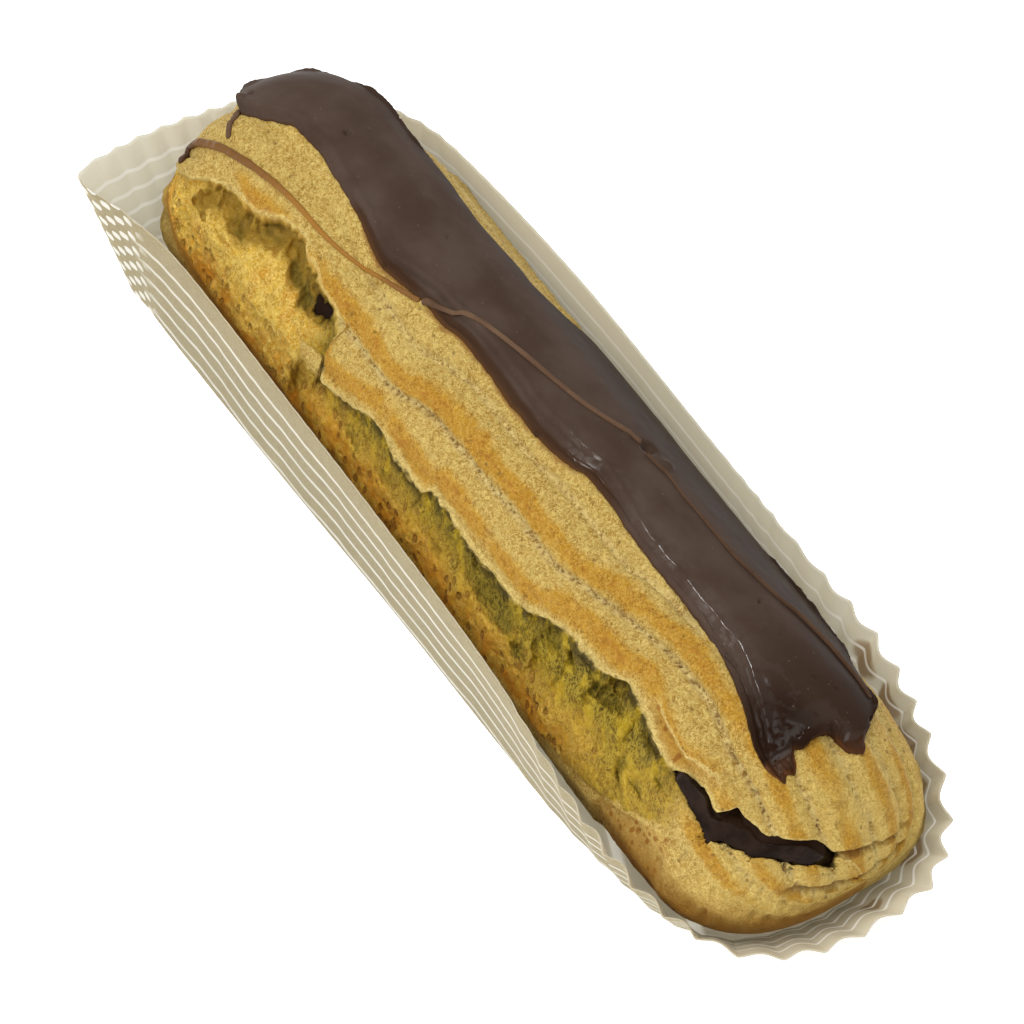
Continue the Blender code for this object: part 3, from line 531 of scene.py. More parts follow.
class Recipe:
    """One material: a Principled shader with fixed values, and the nodes that feed it."""

    def __init__(self, name, **fixed):
        self.material = bpy.data.materials.new(name)
        self.material.use_nodes = True
        self.nodes, self.links = self.material.node_tree.nodes, self.material.node_tree.links
        self.shader = self.nodes["Principled BSDF"]
        for key, value in fixed.items():
            self.shader.inputs[key.replace("_", " ")].default_value = value

    def feed(self, socket, value):
        """Links the socket to the value's node, or sets it to a fixed value."""
        if isinstance(value, Number):
            value = value.socket
        if isinstance(value, bpy.types.NodeSocket):
            self.links.new(value, socket)
        else:
            socket.default_value = value

    def add(self, kind, settings, inputs):
        """A node of this type, with its settings made first and then its sockets fed with values or links."""
        node = self.nodes.new("ShaderNode" + kind)
        for key, value in settings.items():
            setattr(node, key, value)
        for key, value in inputs.items():
            self.feed(node.inputs[key], value)
        return node

    def reading(self, name):
        """The piece's own attribute of this name."""
        return Number(self, self.add("Attribute", {"attribute_name": name}, {}).outputs["Fac"])

    def place(self):
        """The piece's Object coordinates."""
        return self.add("TexCoord", {}, {}).outputs["Object"]

    def lines(self, x, y):
        """Coordinates made from two numbers, so that a pattern can follow the piece's readings."""
        return self.add("CombineXYZ", {}, {0: x, 1: y}).outputs[0]

    def noise(self, size, detail=2.0, rough=0.5, at=None, bend=0.0):
        """Cloudy noise of this size, about 0.3 to 0.7; a bend curls it."""
        node = self.add("TexNoise", {}, {"Vector": at or self.place(), "Scale": 1 / size, "Detail": detail,
                                         "Roughness": rough, "Distortion": bend})
        return Number(self, node.outputs["Fac"])

    def cells(self, size, at=None):
        """Distance to the nearest of random points this far apart, in that size."""
        node = self.add("TexVoronoi", {}, {"Vector": at or self.place(), "Scale": 1 / size})
        return Number(self, node.outputs["Distance"])

    def blend(self, under, over, share):
        """The colour `under`, turned into `over` by the share. Either is a link or levels from 0 to 255."""
        node = self.add("Mix", {"data_type": "RGBA"}, {"Factor": share})
        for k, colour in ((6, under), (7, over)):
            self.feed(node.inputs[k], linear(*colour) if isinstance(colour, tuple) else colour)
        return node.outputs[2]

    def painted(self, colour, *layers):
        """The colour with layers laid over it in turn, each a colour and its share."""
        for over, share in layers:
            colour = self.blend(colour, over, share)
        return colour

    def tint(self, colour, amount):
        """The colour multiplied by a number."""
        return self.add("VectorMath", {"operation": "SCALE"}, {0: colour, "Scale": amount}).outputs[0]

    def coat(self, colour, relief, roughness=None, coat=None):
        """Feeds the shader. Relief is pairs of a height, 0 to 1, and its depth in metres, coarse first."""
        for socket, value in (("Base Color", colour), ("Roughness", roughness), ("Coat Weight", coat)):
            if value is not None:
                self.feed(self.shader.inputs[socket], value)
        under = {}
        for height, depth in relief:
            bump = self.add("Bump", {}, {"Height": height, "Distance": depth, "Strength": 1.0, **under})
            under = {"Normal": bump.outputs[0]}
        self.feed(self.shader.inputs["Normal"], under["Normal"])
        return self.material


def lip_line(x):
    """The ragged lip: the knots' curve plus waves, of which the smaller ones come and go along it."""
    line = flat(x, 0 * x)
    toothed = 0.35 + 0.9 * eased(waves(line, 8 * MM, 59), -0.2, 0.35)
    ragged = 0
    for k, (size, depth) in enumerate(LIP_TEAR):
        ragged = ragged + depth * waves(line, size, 60 + k) * (toothed if k else 1)
    return through(LIP, x) + ragged * eased(girth_share(x), 0.2, 0.5)


def piped_line(x, s):
    """Distance round that a line of piping keeps over the ends: where the body's outline has the same y.
    Ridges then run straight on over the ends and don't close up at the tips."""
    edge = 16 * MM
    inner = np.clip(s, -edge, edge)
    steps = np.linspace(-edge, edge, 200)
    along_y = np.interp(np.mod(steps, GIRTH), ROUND, ROUND_Y)
    return np.interp(crust(x, inner)[..., 1], along_y, steps) + (s - inner)


def ridge_phase(x, s):
    """Ridges counted round the outline: whole numbers on a crest, halves in a groove. The count is straight
    between the two measured grooves and on past them."""
    sheet = flat(x, s)
    level = piped_line(x, s) + 0.30 * MM * waves(sheet, 9 * MM, 7) + 0.18 * MM * waves(sheet, 2 * MM, 8)
    low, high = through(LOW_GROOVE, x), through(HIGH_GROOVE, x)
    between = np.clip((level - low) / (high - low), 0, 1)
    return between - 1.5 + (np.minimum(level - low, 0) + np.maximum(level - high, 0)) / RIDGE_WIDTH


def groove_nearness(x, s):
    """1 in the bottom of a groove, falling to 0 a tenth of a ridge away. The low groove is the plainest, and
    none shows towards the far end or far down the front."""
    phase = ridge_phase(x, s)
    off = np.abs(np.mod(phase, 1) - 0.5)
    shown = np.where(phase < -2, 0.0, np.where(phase < -1, 1.0, 0.7)) * eased(x, -34 * MM, -24 * MM)
    shown = np.maximum(shown, 0.6 * eased(x, 56 * MM, 62 * MM)) * eased(s, -24 * MM, -20 * MM)
    return (1 - eased(off, 0.02, 0.12)) * shown


def browned(x, s):
    """How orange the crust is: a bell across each of two bands, one over the low groove and one over the lip,
    and the tops of the ridges at the near end, all made uneven by waves."""
    sheet = flat(x, s)
    ragged = 0.9 * MM * waves(flat(x * 0.5, s), 4 * MM, 12) + 0.5 * MM * waves(sheet, 1.6 * MM, 13)
    over_groove = s - through(LOW_GROOVE, x) - 2.3 * MM + ragged
    over_lip = s - through(LIP, x) - 2.6 * MM - ragged * 0.7
    bell, fading = 1.5 * MM, eased(x, 62 * MM, 50 * MM)
    upper = np.exp(-((over_groove / bell) ** 2)) * eased(x, -60 * MM, -50 * MM) * fading
    lower = np.exp(-((over_lip / bell) ** 2)) * eased(x, -31 * MM, -26 * MM) * fading
    strength = 0.72 + 0.55 * waves(flat(x, s * 2), 8 * MM, 14) + 0.25 * waves(sheet, 2.5 * MM, 16)
    dome = eased(np.cos(2 * np.pi * ridge_phase(x, s)), -0.1, 1.1) * eased(x, 52 * MM, 64 * MM)
    dome = dome * (0.3 + 0.7 * eased(waves(sheet, 6 * MM, 18), -0.4, 0.5))
    dome = dome * eased(np.abs(s), 28 * MM, 22 * MM)
    return np.clip(np.maximum(np.maximum(upper, lower) * strength, dome * 0.75), 0, 1)


def seam_cut(points):
    """Depth, 0 to 1, of the two crumbly cracks that run on round the near end from the mouth."""
    x, y, z = np.moveaxis(points, -1, 0)
    ragged = 0.35 * MM * waves(points, 1.3 * MM, 91)
    upper, lower = (np.interp(y, *crack.T) for crack in (UPPER_CRACK, LOWER_CRACK))
    near = np.minimum(np.abs(z - upper + ragged), np.abs(z - lower - ragged) * 1.2)
    return (1 - eased(near, 0.1 * MM, 0.65 * MM)) * eased(x, 70.5 * MM, 73 * MM) * eased(y, 12 * MM, 8 * MM)


def groove_pits(x, s):
    """0 to 1 in the small ragged pits that line the grooves: round the points of a lattice bent by waves."""
    points = crust(x, s)
    along_groove = groove_nearness(x, s) * eased(waves(points, 5 * MM, 6), -0.8, -0.2)
    bent = points + 0.25 * MM * waves(points, 1.1 * MM, 19)[..., None]
    return eased(pore_distance(bent, 0.50 * MM, 5), 0.58, 0.26) * along_groove


def crust_relief(x, s):
    """Height of the baked crust over its smooth surface: ridges that are round on top and sharp between,
    |cos|^0.8 of the phase, with long and short waves, less its pits, pores, grooves and cracks, and with a
    thin raised flake beside each groove. It all dies out towards the base."""
    off_base = eased(np.abs(s), 42 * MM, 28 * MM)
    points = crust(x, s)
    phase = ridge_phase(x, s)
    ridge = (2 * np.abs(np.cos(np.pi * phase)) ** 0.8 - 1) * RIDGE_HEIGHT
    ridge = ridge * (1 + 0.4 * waves(points, 12 * MM, 9)) * (off_base * off_tips(x))
    swell = 0.26 * MM * waves(points, 13 * MM, 1) + 0.16 * MM * waves(points, 5 * MM, 2)
    grain = 0.16 * MM * roughness(points, 1.7 * MM, 3, 3, 0.65)
    groove = groove_nearness(x, s) * off_base
    flake = np.exp(-(((np.mod(phase, 1) - 0.42) / 0.035) ** 2)) * eased(waves(points, 3 * MM, 10), -0.2, 0.3)
    fine = eased(pore_distance(points, 0.62 * MM, 15), 0.40, 0.15) * off_base
    pores = eased(pore_distance(points, 3.4 * MM, 17), 0.15, 0.08) * off_base
    return (ridge + (swell + grain) * off_base - PIT_DEPTH * groove_pits(x, s) - FINE_PIT_DEPTH * fine
            - PORE_DEPTH * pores - GROOVE_DEPTH * groove + FLAKE_HEIGHT * flake * (groove > 0)
            - CRACK_DEPTH * seam_cut(points))


def dent(x, s, place):
    """A bowl over a tilted ellipse: 1 in its middle, (1 - r^2)^1.5 out to 0 at its rim."""
    x0, s0, long, wide, turn = place
    c, n = math.cos(math.radians(turn)), math.sin(math.radians(turn))
    u, v = (x - x0) * c + (s - s0) * n, (s - s0) * c - (x - x0) * n
    return np.clip(1 - (u / long) ** 2 - (v / wide) ** 2, 0, 1) ** 1.5


def torn_depth(x, s):
    """How deep the torn face lies under the smooth surface, along the view: the recess under the lip, the
    deepest of the hollows and the cavity, and the mouth, all bent by waves, while lumps and the tongue stand
    out. Then the shares of tongue, of olive crumb with painted shade, of mouth, and of painted shade in the
    hollows and the cavity, each 0 to 1."""
    lip, low = lip_line(x), through(LOWER_EDGE, x)
    below = lip - s
    share = np.clip(below / (lip - low), 0, 1)
    sheet = flat(x, s)
    bent_x = x + 1.0 * MM * waves(sheet, 3.2 * MM, 30) + 0.45 * MM * waves(sheet, 1.1 * MM, 31)
    bent_s = s + 1.0 * MM * waves(sheet, 3.2 * MM, 34) + 0.45 * MM * waves(sheet, 1.1 * MM, 35)
    ends = eased(share, 0, 0.04) * eased(share, 1, 0.93 - 0.33 * eased(x, 36 * MM, 46 * MM))
    shallowing = 0.8 + 1.6 * eased(x, -29 * MM, -34 * MM)
    face = through(FACE_RECESS, x) * eased(below, 0, 0.5 * MM) * (1 - share) ** shallowing
    hollow, olive, dug, lump = (np.zeros_like(share) for _ in range(4))
    for *place, depth, tone in HOLLOWS:
        bowl = dent(bent_x, bent_s, place)
        hollow = np.maximum(hollow, depth * bowl)
        dug = np.maximum(dug, bowl**0.6 * min(depth / (2.4 * MM), 1))
        olive = np.maximum(olive, tone * bowl**0.5)
    crag = 0.6 * waves(flat(bent_x, s * 0.6), 3.0 * MM, 36) + 0.4 * waves(sheet, 1.2 * MM, 37)
    deep, wide, tone = (through(CAVITY[:, [0, k]], x) for k in (1, 2, 3))
    inward = below / wide + 0.30 * crag
    cavity = eased(inward, -0.02, 0.16) * eased(inward, 1.0, 0.45) * eased(deep, 0, 1.5 * MM)
    hollow = np.maximum(hollow, deep * cavity * (0.85 + 0.5 * crag))
    dug = np.maximum(dug, cavity)
    mottled = eased(waves(sheet, 4.5 * MM, 38), -0.45, 0.15)
    olive = np.maximum(olive, tone * cavity * eased(inward, 0.15, 0.5) * mottled)
    for *place, height in LUMPS:
        lump = np.maximum(lump, height * dent(bent_x, bent_s, place))
    mouth_low = through(MOUTH_LOW, x) + 0.25 * MM * waves(sheet, 1.4 * MM, 33)
    mouth = eased(s, mouth_low - 0.1 * MM, mouth_low + 0.3 * MM)
    mouth = mouth * eased(x, MOUTH_START, MOUTH_START + 0.8 * MM)
    mouth = mouth * eased(x + 0.14 * (s + 5 * MM), 73.5 * MM, 72.9 * MM)
    tongue = eased(dent(bent_x, bent_s, (*TONGUE, 0)), 0.0, 0.35)
    depth = np.maximum((face + hollow - lump) * ends, MOUTH_DEPTH * mouth * eased(below, 0, 0.3 * MM))
    depth = depth * (1 - tongue) - 0.5 * MM * tongue * ends
    return depth, dict(tongue=tongue, olive=olive * ends, mouth=mouth, dug=dug * ends)


def crumb_relief(x, s):
    """Height of the torn crumb: clumps and layered fluff less small cells and pits, and from the tongue to
    the near end soft lumps, strands that hang from the lip and folded membranes too, both 1 - 2|waves|."""
    sheet = flat(x, s)
    along, down = (waves(sheet, 2.4 * MM, seed) for seed in (44, 45))
    bent = sheet + 0.6 * MM * np.stack([along, down, 0 * x * s], -1)
    hanging = flat(bent[..., 0] - 0.3 * bent[..., 1], bent[..., 1] * 0.42)
    strands = 1 - 2 * np.abs(waves(hanging, 1.6 * MM, 40))
    folds = 1 - 2 * np.abs(waves(bent * (1, 0.6, 1), 5.0 * MM, 42))
    soft = waves(bent * (1, 0.7, 1), 6.0 * MM, 49)
    clumps = waves(sheet, 4.2 * MM, 41)
    fluff = roughness(bent, 1.2 * MM, 3, 43, 0.6)
    cells = eased(pore_distance(bent, 1.25 * MM, 47), 0.42, 0.10)
    pits = eased(pore_distance(bent, 2.6 * MM, 48), 0.30, 0.08)
    open_side = eased(x, -33 * MM, -25 * MM)
    return (open_side * (0.10 * MM * strands + 0.14 * MM * folds + 0.70 * MM * soft) + 0.50 * MM * clumps
            + (0.26 - 0.08 * open_side) * MM * fluff
            - 0.14 * MM * cells - 0.45 * MM * pits * (1 - 0.6 * open_side))


def lengthwise(rows, far, near):
    """Places along the length: even, but closer within `far` and `near` of the tips, where they follow the
    sine of an even angle."""
    count = int(rows * 0.17)
    cap = np.sin(np.linspace(0, np.pi / 2, count + 1))[:-1]
    first = FAR_TIP + far * (1 - cap[::-1])
    last = NEAR_TIP - near * (1 - cap)
    middle = np.linspace(first[-1], last[0], rows - 2 * count + 2)[1:-1]
    return np.concatenate([first, middle, last])


def icing_inset(x, s):
    """The icing's front and back edges at x, each its knots plus waves, and how far inside its nearer end a
    place is (below 0 is outside)."""
    line = flat(x, 0 * x)
    front = through(ICING_FRONT, x) + 0.16 * MM * waves(line, 3.0 * MM, 102)
    front = front + 0.10 * MM * waves(line, 1.1 * MM, 103)
    back = through(ICING_BACK, x) + 1.1 * MM * waves(line, 9.0 * MM, 104)
    share = np.clip((s - front) / (back - front), 0, 1)
    ends = np.minimum(x - through(ICING_FAR_END, share), ragged_near_end(share) - x)
    return front, back, ends


def ragged_near_end(share):
    """Length at which the icing ends towards the near tip: its knots plus waves."""
    ragged = waves(flat(share * 60 * MM, 0 * share), 2.2 * MM, 101)
    return through(ICING_NEAR_END, share) + 0.30 * MM * ragged


def under_icing(x, s):
    """0 on bare crust and 1 where the icing lies over it, a millimetre in from its edge."""
    front, back, ends = icing_inset(x, s)
    return eased(np.minimum(np.minimum(s - front, back - s), ends), 0.4 * MM, 1.5 * MM)


def soaked(x, s):
    """0 to 1 on the crust close to the icing's front edge, where its thin ledge has soaked in."""
    front = through(ICING_FRONT, x) + 0.5 * MM * waves(flat(x, s), 2.2 * MM, 111)
    near = eased(s, front - 1.3 * MM, front + 0.2 * MM) * eased(s, 8 * MM, 5 * MM)
    return near * np.clip(through(LEDGE_THIN, x), 0, 1) * eased(icing_inset(x, s)[2], -0.5 * MM, 0.5 * MM)


def calmed(knots, x, reach):
    """The knots' curve along x with its steps smoothed out by a cosine bell this wide."""
    even = np.linspace(FAR_TIP, NEAR_TIP, 800)
    half = int(reach / (even[1] - even[0]) / 2)
    bell = np.hanning(2 * half + 3)[1:-1]
    line = np.pad(through(knots, even), half, mode="edge")
    return np.interp(x, even, np.convolve(line, bell / bell.sum(), mode="valid"))


def choux_pastry(finish):
    """Rings that run from the lip over the top, the back and the base, then up the torn face to the lip. The
    columns are close on the crust that shows, and even out the lip's steps within a few millimetres. The
    skin stands out by the crust's relief, and is lower under the icing, at the back of the far end and on
    the shelf over the lip. The torn face is set back along the view by its depth and stands out by the
    crumb's relief."""
    rows, front_columns, iced_columns, back_columns, under_columns, torn_columns = 556, 62, 12, 18, 24, 62
    iced_from, iced_to, turn_under = -1 * MM, 14 * MM, 30 * MM

    def shares(columns):
        return np.linspace(0, 1, columns + 1)[None, :-1]

    x = lengthwise(rows, 19 * MM, 22 * MM)[:, None]
    lip, low = lip_line(x), through(LOWER_EDGE, x)
    calm = calmed(LIP, x, 8 * MM)
    climb = shares(front_columns)
    front = calm + (iced_from - calm) * climb + (lip - calm) * (1 - climb) ** 3
    iced = iced_from + (iced_to - iced_from) * shares(iced_columns) + 0 * x
    back = iced_to + (turn_under - iced_to) * shares(back_columns) + 0 * x
    under = turn_under + (low + GIRTH - turn_under) * (1 - (1 - shares(under_columns)) ** 1.35)
    torn_s = low + (lip - low) * shares(torn_columns) ** 0.92
    skin_s = np.concatenate([front, iced, back, under], axis=1)
    signed = skin_s - GIRTH * (skin_s > GIRTH / 2)
    relief = crust_relief(x, signed)
    relief += (-ICING_BED - relief) * under_icing(x, signed)
    relief -= (DRAWN_IN * eased(x, -46 * MM, -57 * MM)
               * eased(signed, 15 * MM, 23 * MM) * eased(signed, 46 * MM, 38 * MM))
    relief -= (SHELF_STEP * eased(signed - lip, 2.5 * MM, 1.9 * MM)
               * eased(x, 45 * MM, 47 * MM) * eased(x, 61 * MM, 58 * MM))
    skin = crust(x, skin_s) + outward(x, skin_s) * relief[..., None]
    depth, shown = torn_depth(x, torn_s)
    torn = crust(x, torn_s) - TO_VIEW * depth[..., None]
    grid = np.concatenate([skin, torn], axis=1)
    s = np.concatenate([signed, torn_s], axis=1)
    below = lip - s
    smooth = np.zeros_like(skin_s)
    shown = {key: np.concatenate([smooth, value], axis=1) for key, value in dict(shown, depth=depth).items()}
    is_torn = np.concatenate([smooth, np.ones_like(torn_s)], axis=1)
    bare = is_torn * eased(below, 0, 0.6 * MM) * eased(s, low, low + 1.5 * MM)
    normals = ring_normals(grid)
    facing = np.sign(np.median((normals * outward(x, s)).sum(-1)))
    crumb = crumb_relief(x, s) * bare * off_tips(x)
    jaw = is_torn * eased(x, 55 * MM, 60 * MM)
    crumb += (crust_relief(x, s) - crumb) * jaw
    crumb *= 1 - np.maximum(shown["tongue"], shown.pop("mouth"))
    grid = grid + normals * facing * crumb[..., None]
    readings = dict(
        along=x, around=s, below_lip=below, above_low=s - low, torn=is_torn, jaw=jaw,
        groove=groove_nearness(x, s), pits=groove_pits(x, s), browned=browned(x, s),
        soaked=soaked(x, s) * (1 - is_torn), seam=seam_cut(grid), **shown)
    tips = [np.array([end["tip"], *end["middle"]]) for end in (FAR_END, NEAR_END)]
    return rings("choux_pastry", grid, *tips, readings, finish)


def filling_rope(finish):
    """Flattened rope whose front, back, middle height and half height follow the knots along x, with soft
    folds where the cream was squeezed. Its rows are closer towards its ends, by a cosine."""
    rows, columns = 340, 120
    reach = 0.02 + 0.96 * np.linspace(0, 1, rows)
    x = FILLING_FAR + (FILLING_NEAR - FILLING_FAR) * (0.5 - 0.5 * np.cos(np.pi * reach))
    near = np.clip(np.minimum(x - FILLING_FAR, FILLING_NEAR - x) / FILLING_ROUNDING, 0, 1)
    swell = np.sqrt(1 - (1 - near) ** 2)[:, None]
    turn = np.linspace(0, 2 * np.pi, columns, endpoint=False)[None, :]
    around = np.sign(np.cos(turn)) * np.abs(np.cos(turn)) ** FILLING_BLUNT
    front, back = through(FILLING_FRONT, x)[:, None], through(FILLING_BACK, x)[:, None]
    wide, side = (back - front) / 2 * swell, (back + front) / 2
    high = through(FILLING_HALF, x)[:, None] * swell
    middle = through(FILLING_HEIGHT, x)[:, None]
    grid = np.stack([np.broadcast_to(x[:, None], (rows, columns)), side + wide * around,
                     middle + high * np.sin(turn)], -1)
    normals = ring_normals(grid)
    normals *= np.sign(normals[rows // 2, 0, 1])
    folds = 0.35 * MM * (1 - 2 * np.abs(waves(grid * (0.6, 1, 1.4), 3.6 * MM, 80)))
    folds += 0.12 * MM * waves(grid, 1.5 * MM, 81) - 0.35 * MM
    grid = grid + normals * (folds * swell)[..., None]
    return rings("chocolate_filling_cream", grid, grid[0].mean(0), grid[-1].mean(0), {}, finish)


def sheets(name, under, over, readings, finish):
    """A closed mesh from two grids of points, (rows, columns, 3), joined round their border by a wall."""
    rows, columns = under.shape[:2]
    count = rows * columns
    i, j = np.meshgrid(np.arange(rows - 1), np.arange(columns - 1), indexing="ij")
    a = (i * columns + j).ravel()
    sheet = np.stack([a, a + 1, a + columns + 1, a + columns], -1)
    border = np.concatenate([
        np.arange(columns - 1), np.arange(rows - 1) * columns + columns - 1,
        (count - 1) - np.arange(columns - 1), ((rows - 1) - np.arange(rows - 1)) * columns])
    after = np.roll(border, -1)
    wall = np.stack([border, border + count, after + count, after], -1)
    quads = np.concatenate([sheet, sheet[:, ::-1] + count, wall])
    points = np.concatenate([under.reshape(-1, 3), over.reshape(-1, 3)])
    readings = {key: np.tile(value.ravel(), 2) for key, value in readings.items()}
    return mesh_piece(name, points, quads, np.zeros((0, 3), int), readings, finish)


def icing_shape(x, s):
    """The icing's height over its base, how far in from its edge a place is, how thin its ledge is there,
    and how dripped. The height rises from the edge on a quarter circle, then up a soft step from a low ledge
    along the front, past a raised bead, to the full layer. Fine ridges run along the ledge, and the marks
    are bowls, (1 - r^2)^2 deep."""
    front, back, ends = icing_inset(x, s)
    line, place = flat(x, 0 * x), flat(x, s)
    from_front = s - front
    edge = np.minimum(np.minimum(from_front, back - s), ends)
    ledge = through(LEDGE_WIDTH, x) * (1 + 0.20 * waves(line, 5 * MM, 105))
    drip = eased(x, 61.2 * MM, 62.4 * MM) * eased(s, 0.2 * MM, -0.8 * MM)
    drip = np.maximum(drip, eased(x, 62.6 * MM, 63.9 * MM) * eased(s, 13 * MM, 11 * MM))
    thin = np.maximum(through(LEDGE_THIN, x), drip)
    step = eased(from_front, ledge - 0.3 * MM, ledge + 0.6 * MM) * (1 - drip)
    bead = np.exp(-(((from_front - ledge - 0.75 * MM) / (0.55 * MM)) ** 2)) * (1 - drip)
    bead *= 0.7 + 0.5 * waves(line, 6 * MM, 108)
    low_part = 0.62 * MM - 0.34 * MM * thin
    rounded = np.sqrt(1 - (1 - np.clip(edge / (0.6 * MM), 0, 1)) ** 2)
    rounded += (eased(edge, 0, 1.7 * MM) - rounded) * np.clip(thin * 1.3, 0, 1) * (1 - drip)
    fine = np.cos(2 * np.pi * (from_front + 0.25 * MM * waves(line, 7 * MM, 109)) / (0.72 * MM))
    fine *= eased(x, 6 * MM, 12 * MM) * (1 - step) * eased(edge, 0.3 * MM, 0.7 * MM)
    height = low_part + (ICING_THICKNESS - low_part) * step + 0.24 * MM * bead * eased(ends, 0, 3 * MM)
    height += 0.35 * MM * step * eased(x, -52 * MM, -62 * MM)
    height += 0.07 * MM * fine - 0.5 * MM * eased(s, 12 * MM, 24 * MM) * step
    height += (0.14 * MM * waves(place, 12 * MM, 106) + 0.05 * MM * waves(place, 4 * MM, 110)) * step
    height += 0.025 * MM * waves(place, 2.2 * MM, 107)
    for x0, s0, radius, depth in ICING_MARKS:
        height -= depth * np.clip(1 - ((x - x0) ** 2 + (s - s0) ** 2) / radius**2, 0, 1) ** 2
    return np.maximum(height * rounded, 0.03 * MM), edge, thin * (1 - step), drip


def icing_bed(x, s, edge):
    """How high the icing's underside lies: on the crust's relief near its edge, on the smooth surface further
    in."""
    return crust_relief(x, s) * eased(edge, 1.6 * MM, 0.5 * MM)


def crowded(count):
    """Places from 0 to 1, closer towards both ends: even ones less a tenth of the sine of a whole turn."""
    even = np.linspace(0, 1, count)
    return even - 0.10 * np.sin(2 * np.pi * even)


def icing_layer(finish):
    """Two sheets over the crust joined round their edge: the lower follows the crust's relief near the edge,
    and the upper lies above it by the icing's height."""
    along, share = crowded(476)[:, None], crowded(102)[None, :]
    start, stop = through(ICING_FAR_END, share), ragged_near_end(share)
    x = start + (stop - start) * along
    front, back, _ = icing_inset(x, through(ICING_FRONT, x))
    s = front + (back - front) * share
    height, edge, thin, drip = icing_shape(x, s)
    normal = outward(x, s)
    under = crust(x, s) + normal * (ICING_GAP + icing_bed(x, s, edge))[..., None]
    over = under + normal * height[..., None]
    readings = dict(along=x, around=s, from_edge=edge, thin=thin, drip=drip)
    return sheets("icing_layer", under, over, readings, finish)


def mouth_cream(finish):
    """The cream that fills the mouth: its surface runs from just under the lower edge, swells, and then
    sinks under the lip, with soft folds; the other sheet lies deeper along the view."""
    rows, columns, thickness, start, stop = 220, 70, 1.4 * MM, 53.4 * MM, 73.6 * MM
    x = np.linspace(start, stop, rows)[:, None]
    v = np.linspace(0, 1, columns)[None, :]
    low = through(MOUTH_LOW, x) - 0.35 * MM
    high = through(LIP, x) + 1.4 * MM
    points = crust(x, low + (high - low) * v)
    span = eased(x, start, 55.5 * MM) * eased(x, stop, 72.6 * MM)
    swell = np.exp(-(((v - 0.33) / 0.2) ** 2))
    sink = 0.5 * MM + 0.9 * MM * v - 1.2 * MM * swell + 2.6 * MM * eased(v, 0.5, 1.0)
    sink += 0.7 * MM * eased(v, 0.12, 0.0)
    folds = 0.70 * MM * (1 - 2 * np.abs(waves(points * (0.6, 1, 1), 3.4 * MM, 82)))
    folds += 0.34 * MM * waves(points, 1.7 * MM, 83) + 0.10 * MM * waves(points, 0.7 * MM, 84)
    sink = np.maximum(sink - folds * eased(v, 0, 0.2), 0.35 * MM) + 2.5 * MM * (1 - span)
    over = points - TO_VIEW * sink[..., None]
    under = points - TO_VIEW * (sink + thickness)[..., None]
    return sheets("chocolate_cream_in_mouth", under, over, {}, finish)


def drizzle(name, route, finish):
    """A thread along a route over the crust and the icing: ovals across the route whose size wavers a little,
    sunk into what they lie on by a share of their radius, and rounded off at both ends."""
    rows, sides, sunk, flatness = 460, 14, 0.25, 0.8
    way = np.linspace(0, len(route) - 1, rows)
    x, s, radius = (through(np.stack([np.arange(len(route)), measure], -1), way) for measure in route.T)
    up = outward(x, s)
    height, edge, _, _ = icing_shape(x, s)
    lift = icing_bed(x, s, edge) + (height + ICING_GAP) * eased(edge, 0.0, 0.3 * MM)
    size = radius * (1 + 0.16 * waves(flat(x, s), 2.4 * MM, 120))
    middle = crust(x, s) + up * (lift + size * flatness * (1 - 2 * sunk))[:, None]
    ahead = unit(np.gradient(middle, axis=0))
    aside = unit(np.cross(ahead, up))
    turn = np.linspace(0, 2 * np.pi, sides, endpoint=False)[None, :, None]
    run = travelled(middle)
    end = np.clip(np.minimum(run, run[-1] - run) / radius, 0.03, 1)
    size = size * np.sqrt(1 - (1 - end) ** 2)
    ring = np.cos(turn) * aside[:, None] + np.sin(turn) * up[:, None] * flatness
    grid = middle[:, None] + ring * size[:, None, None]
    return rings(name, grid, middle[0], middle[-1], dict(way=way[:, None]), finish)


def case_path(columns):
    """Even places round the case: the columns of CASE and the distance round the rim."""
    path = closed_curve(CASE, 80)
    path = np.vstack([path, path[:1]])
    run = travelled(path[:, 2:4])
    at = np.linspace(0, run[-1], columns, endpoint=False)
    return np.stack([np.interp(at, run, measure) for measure in path.T], -1), at


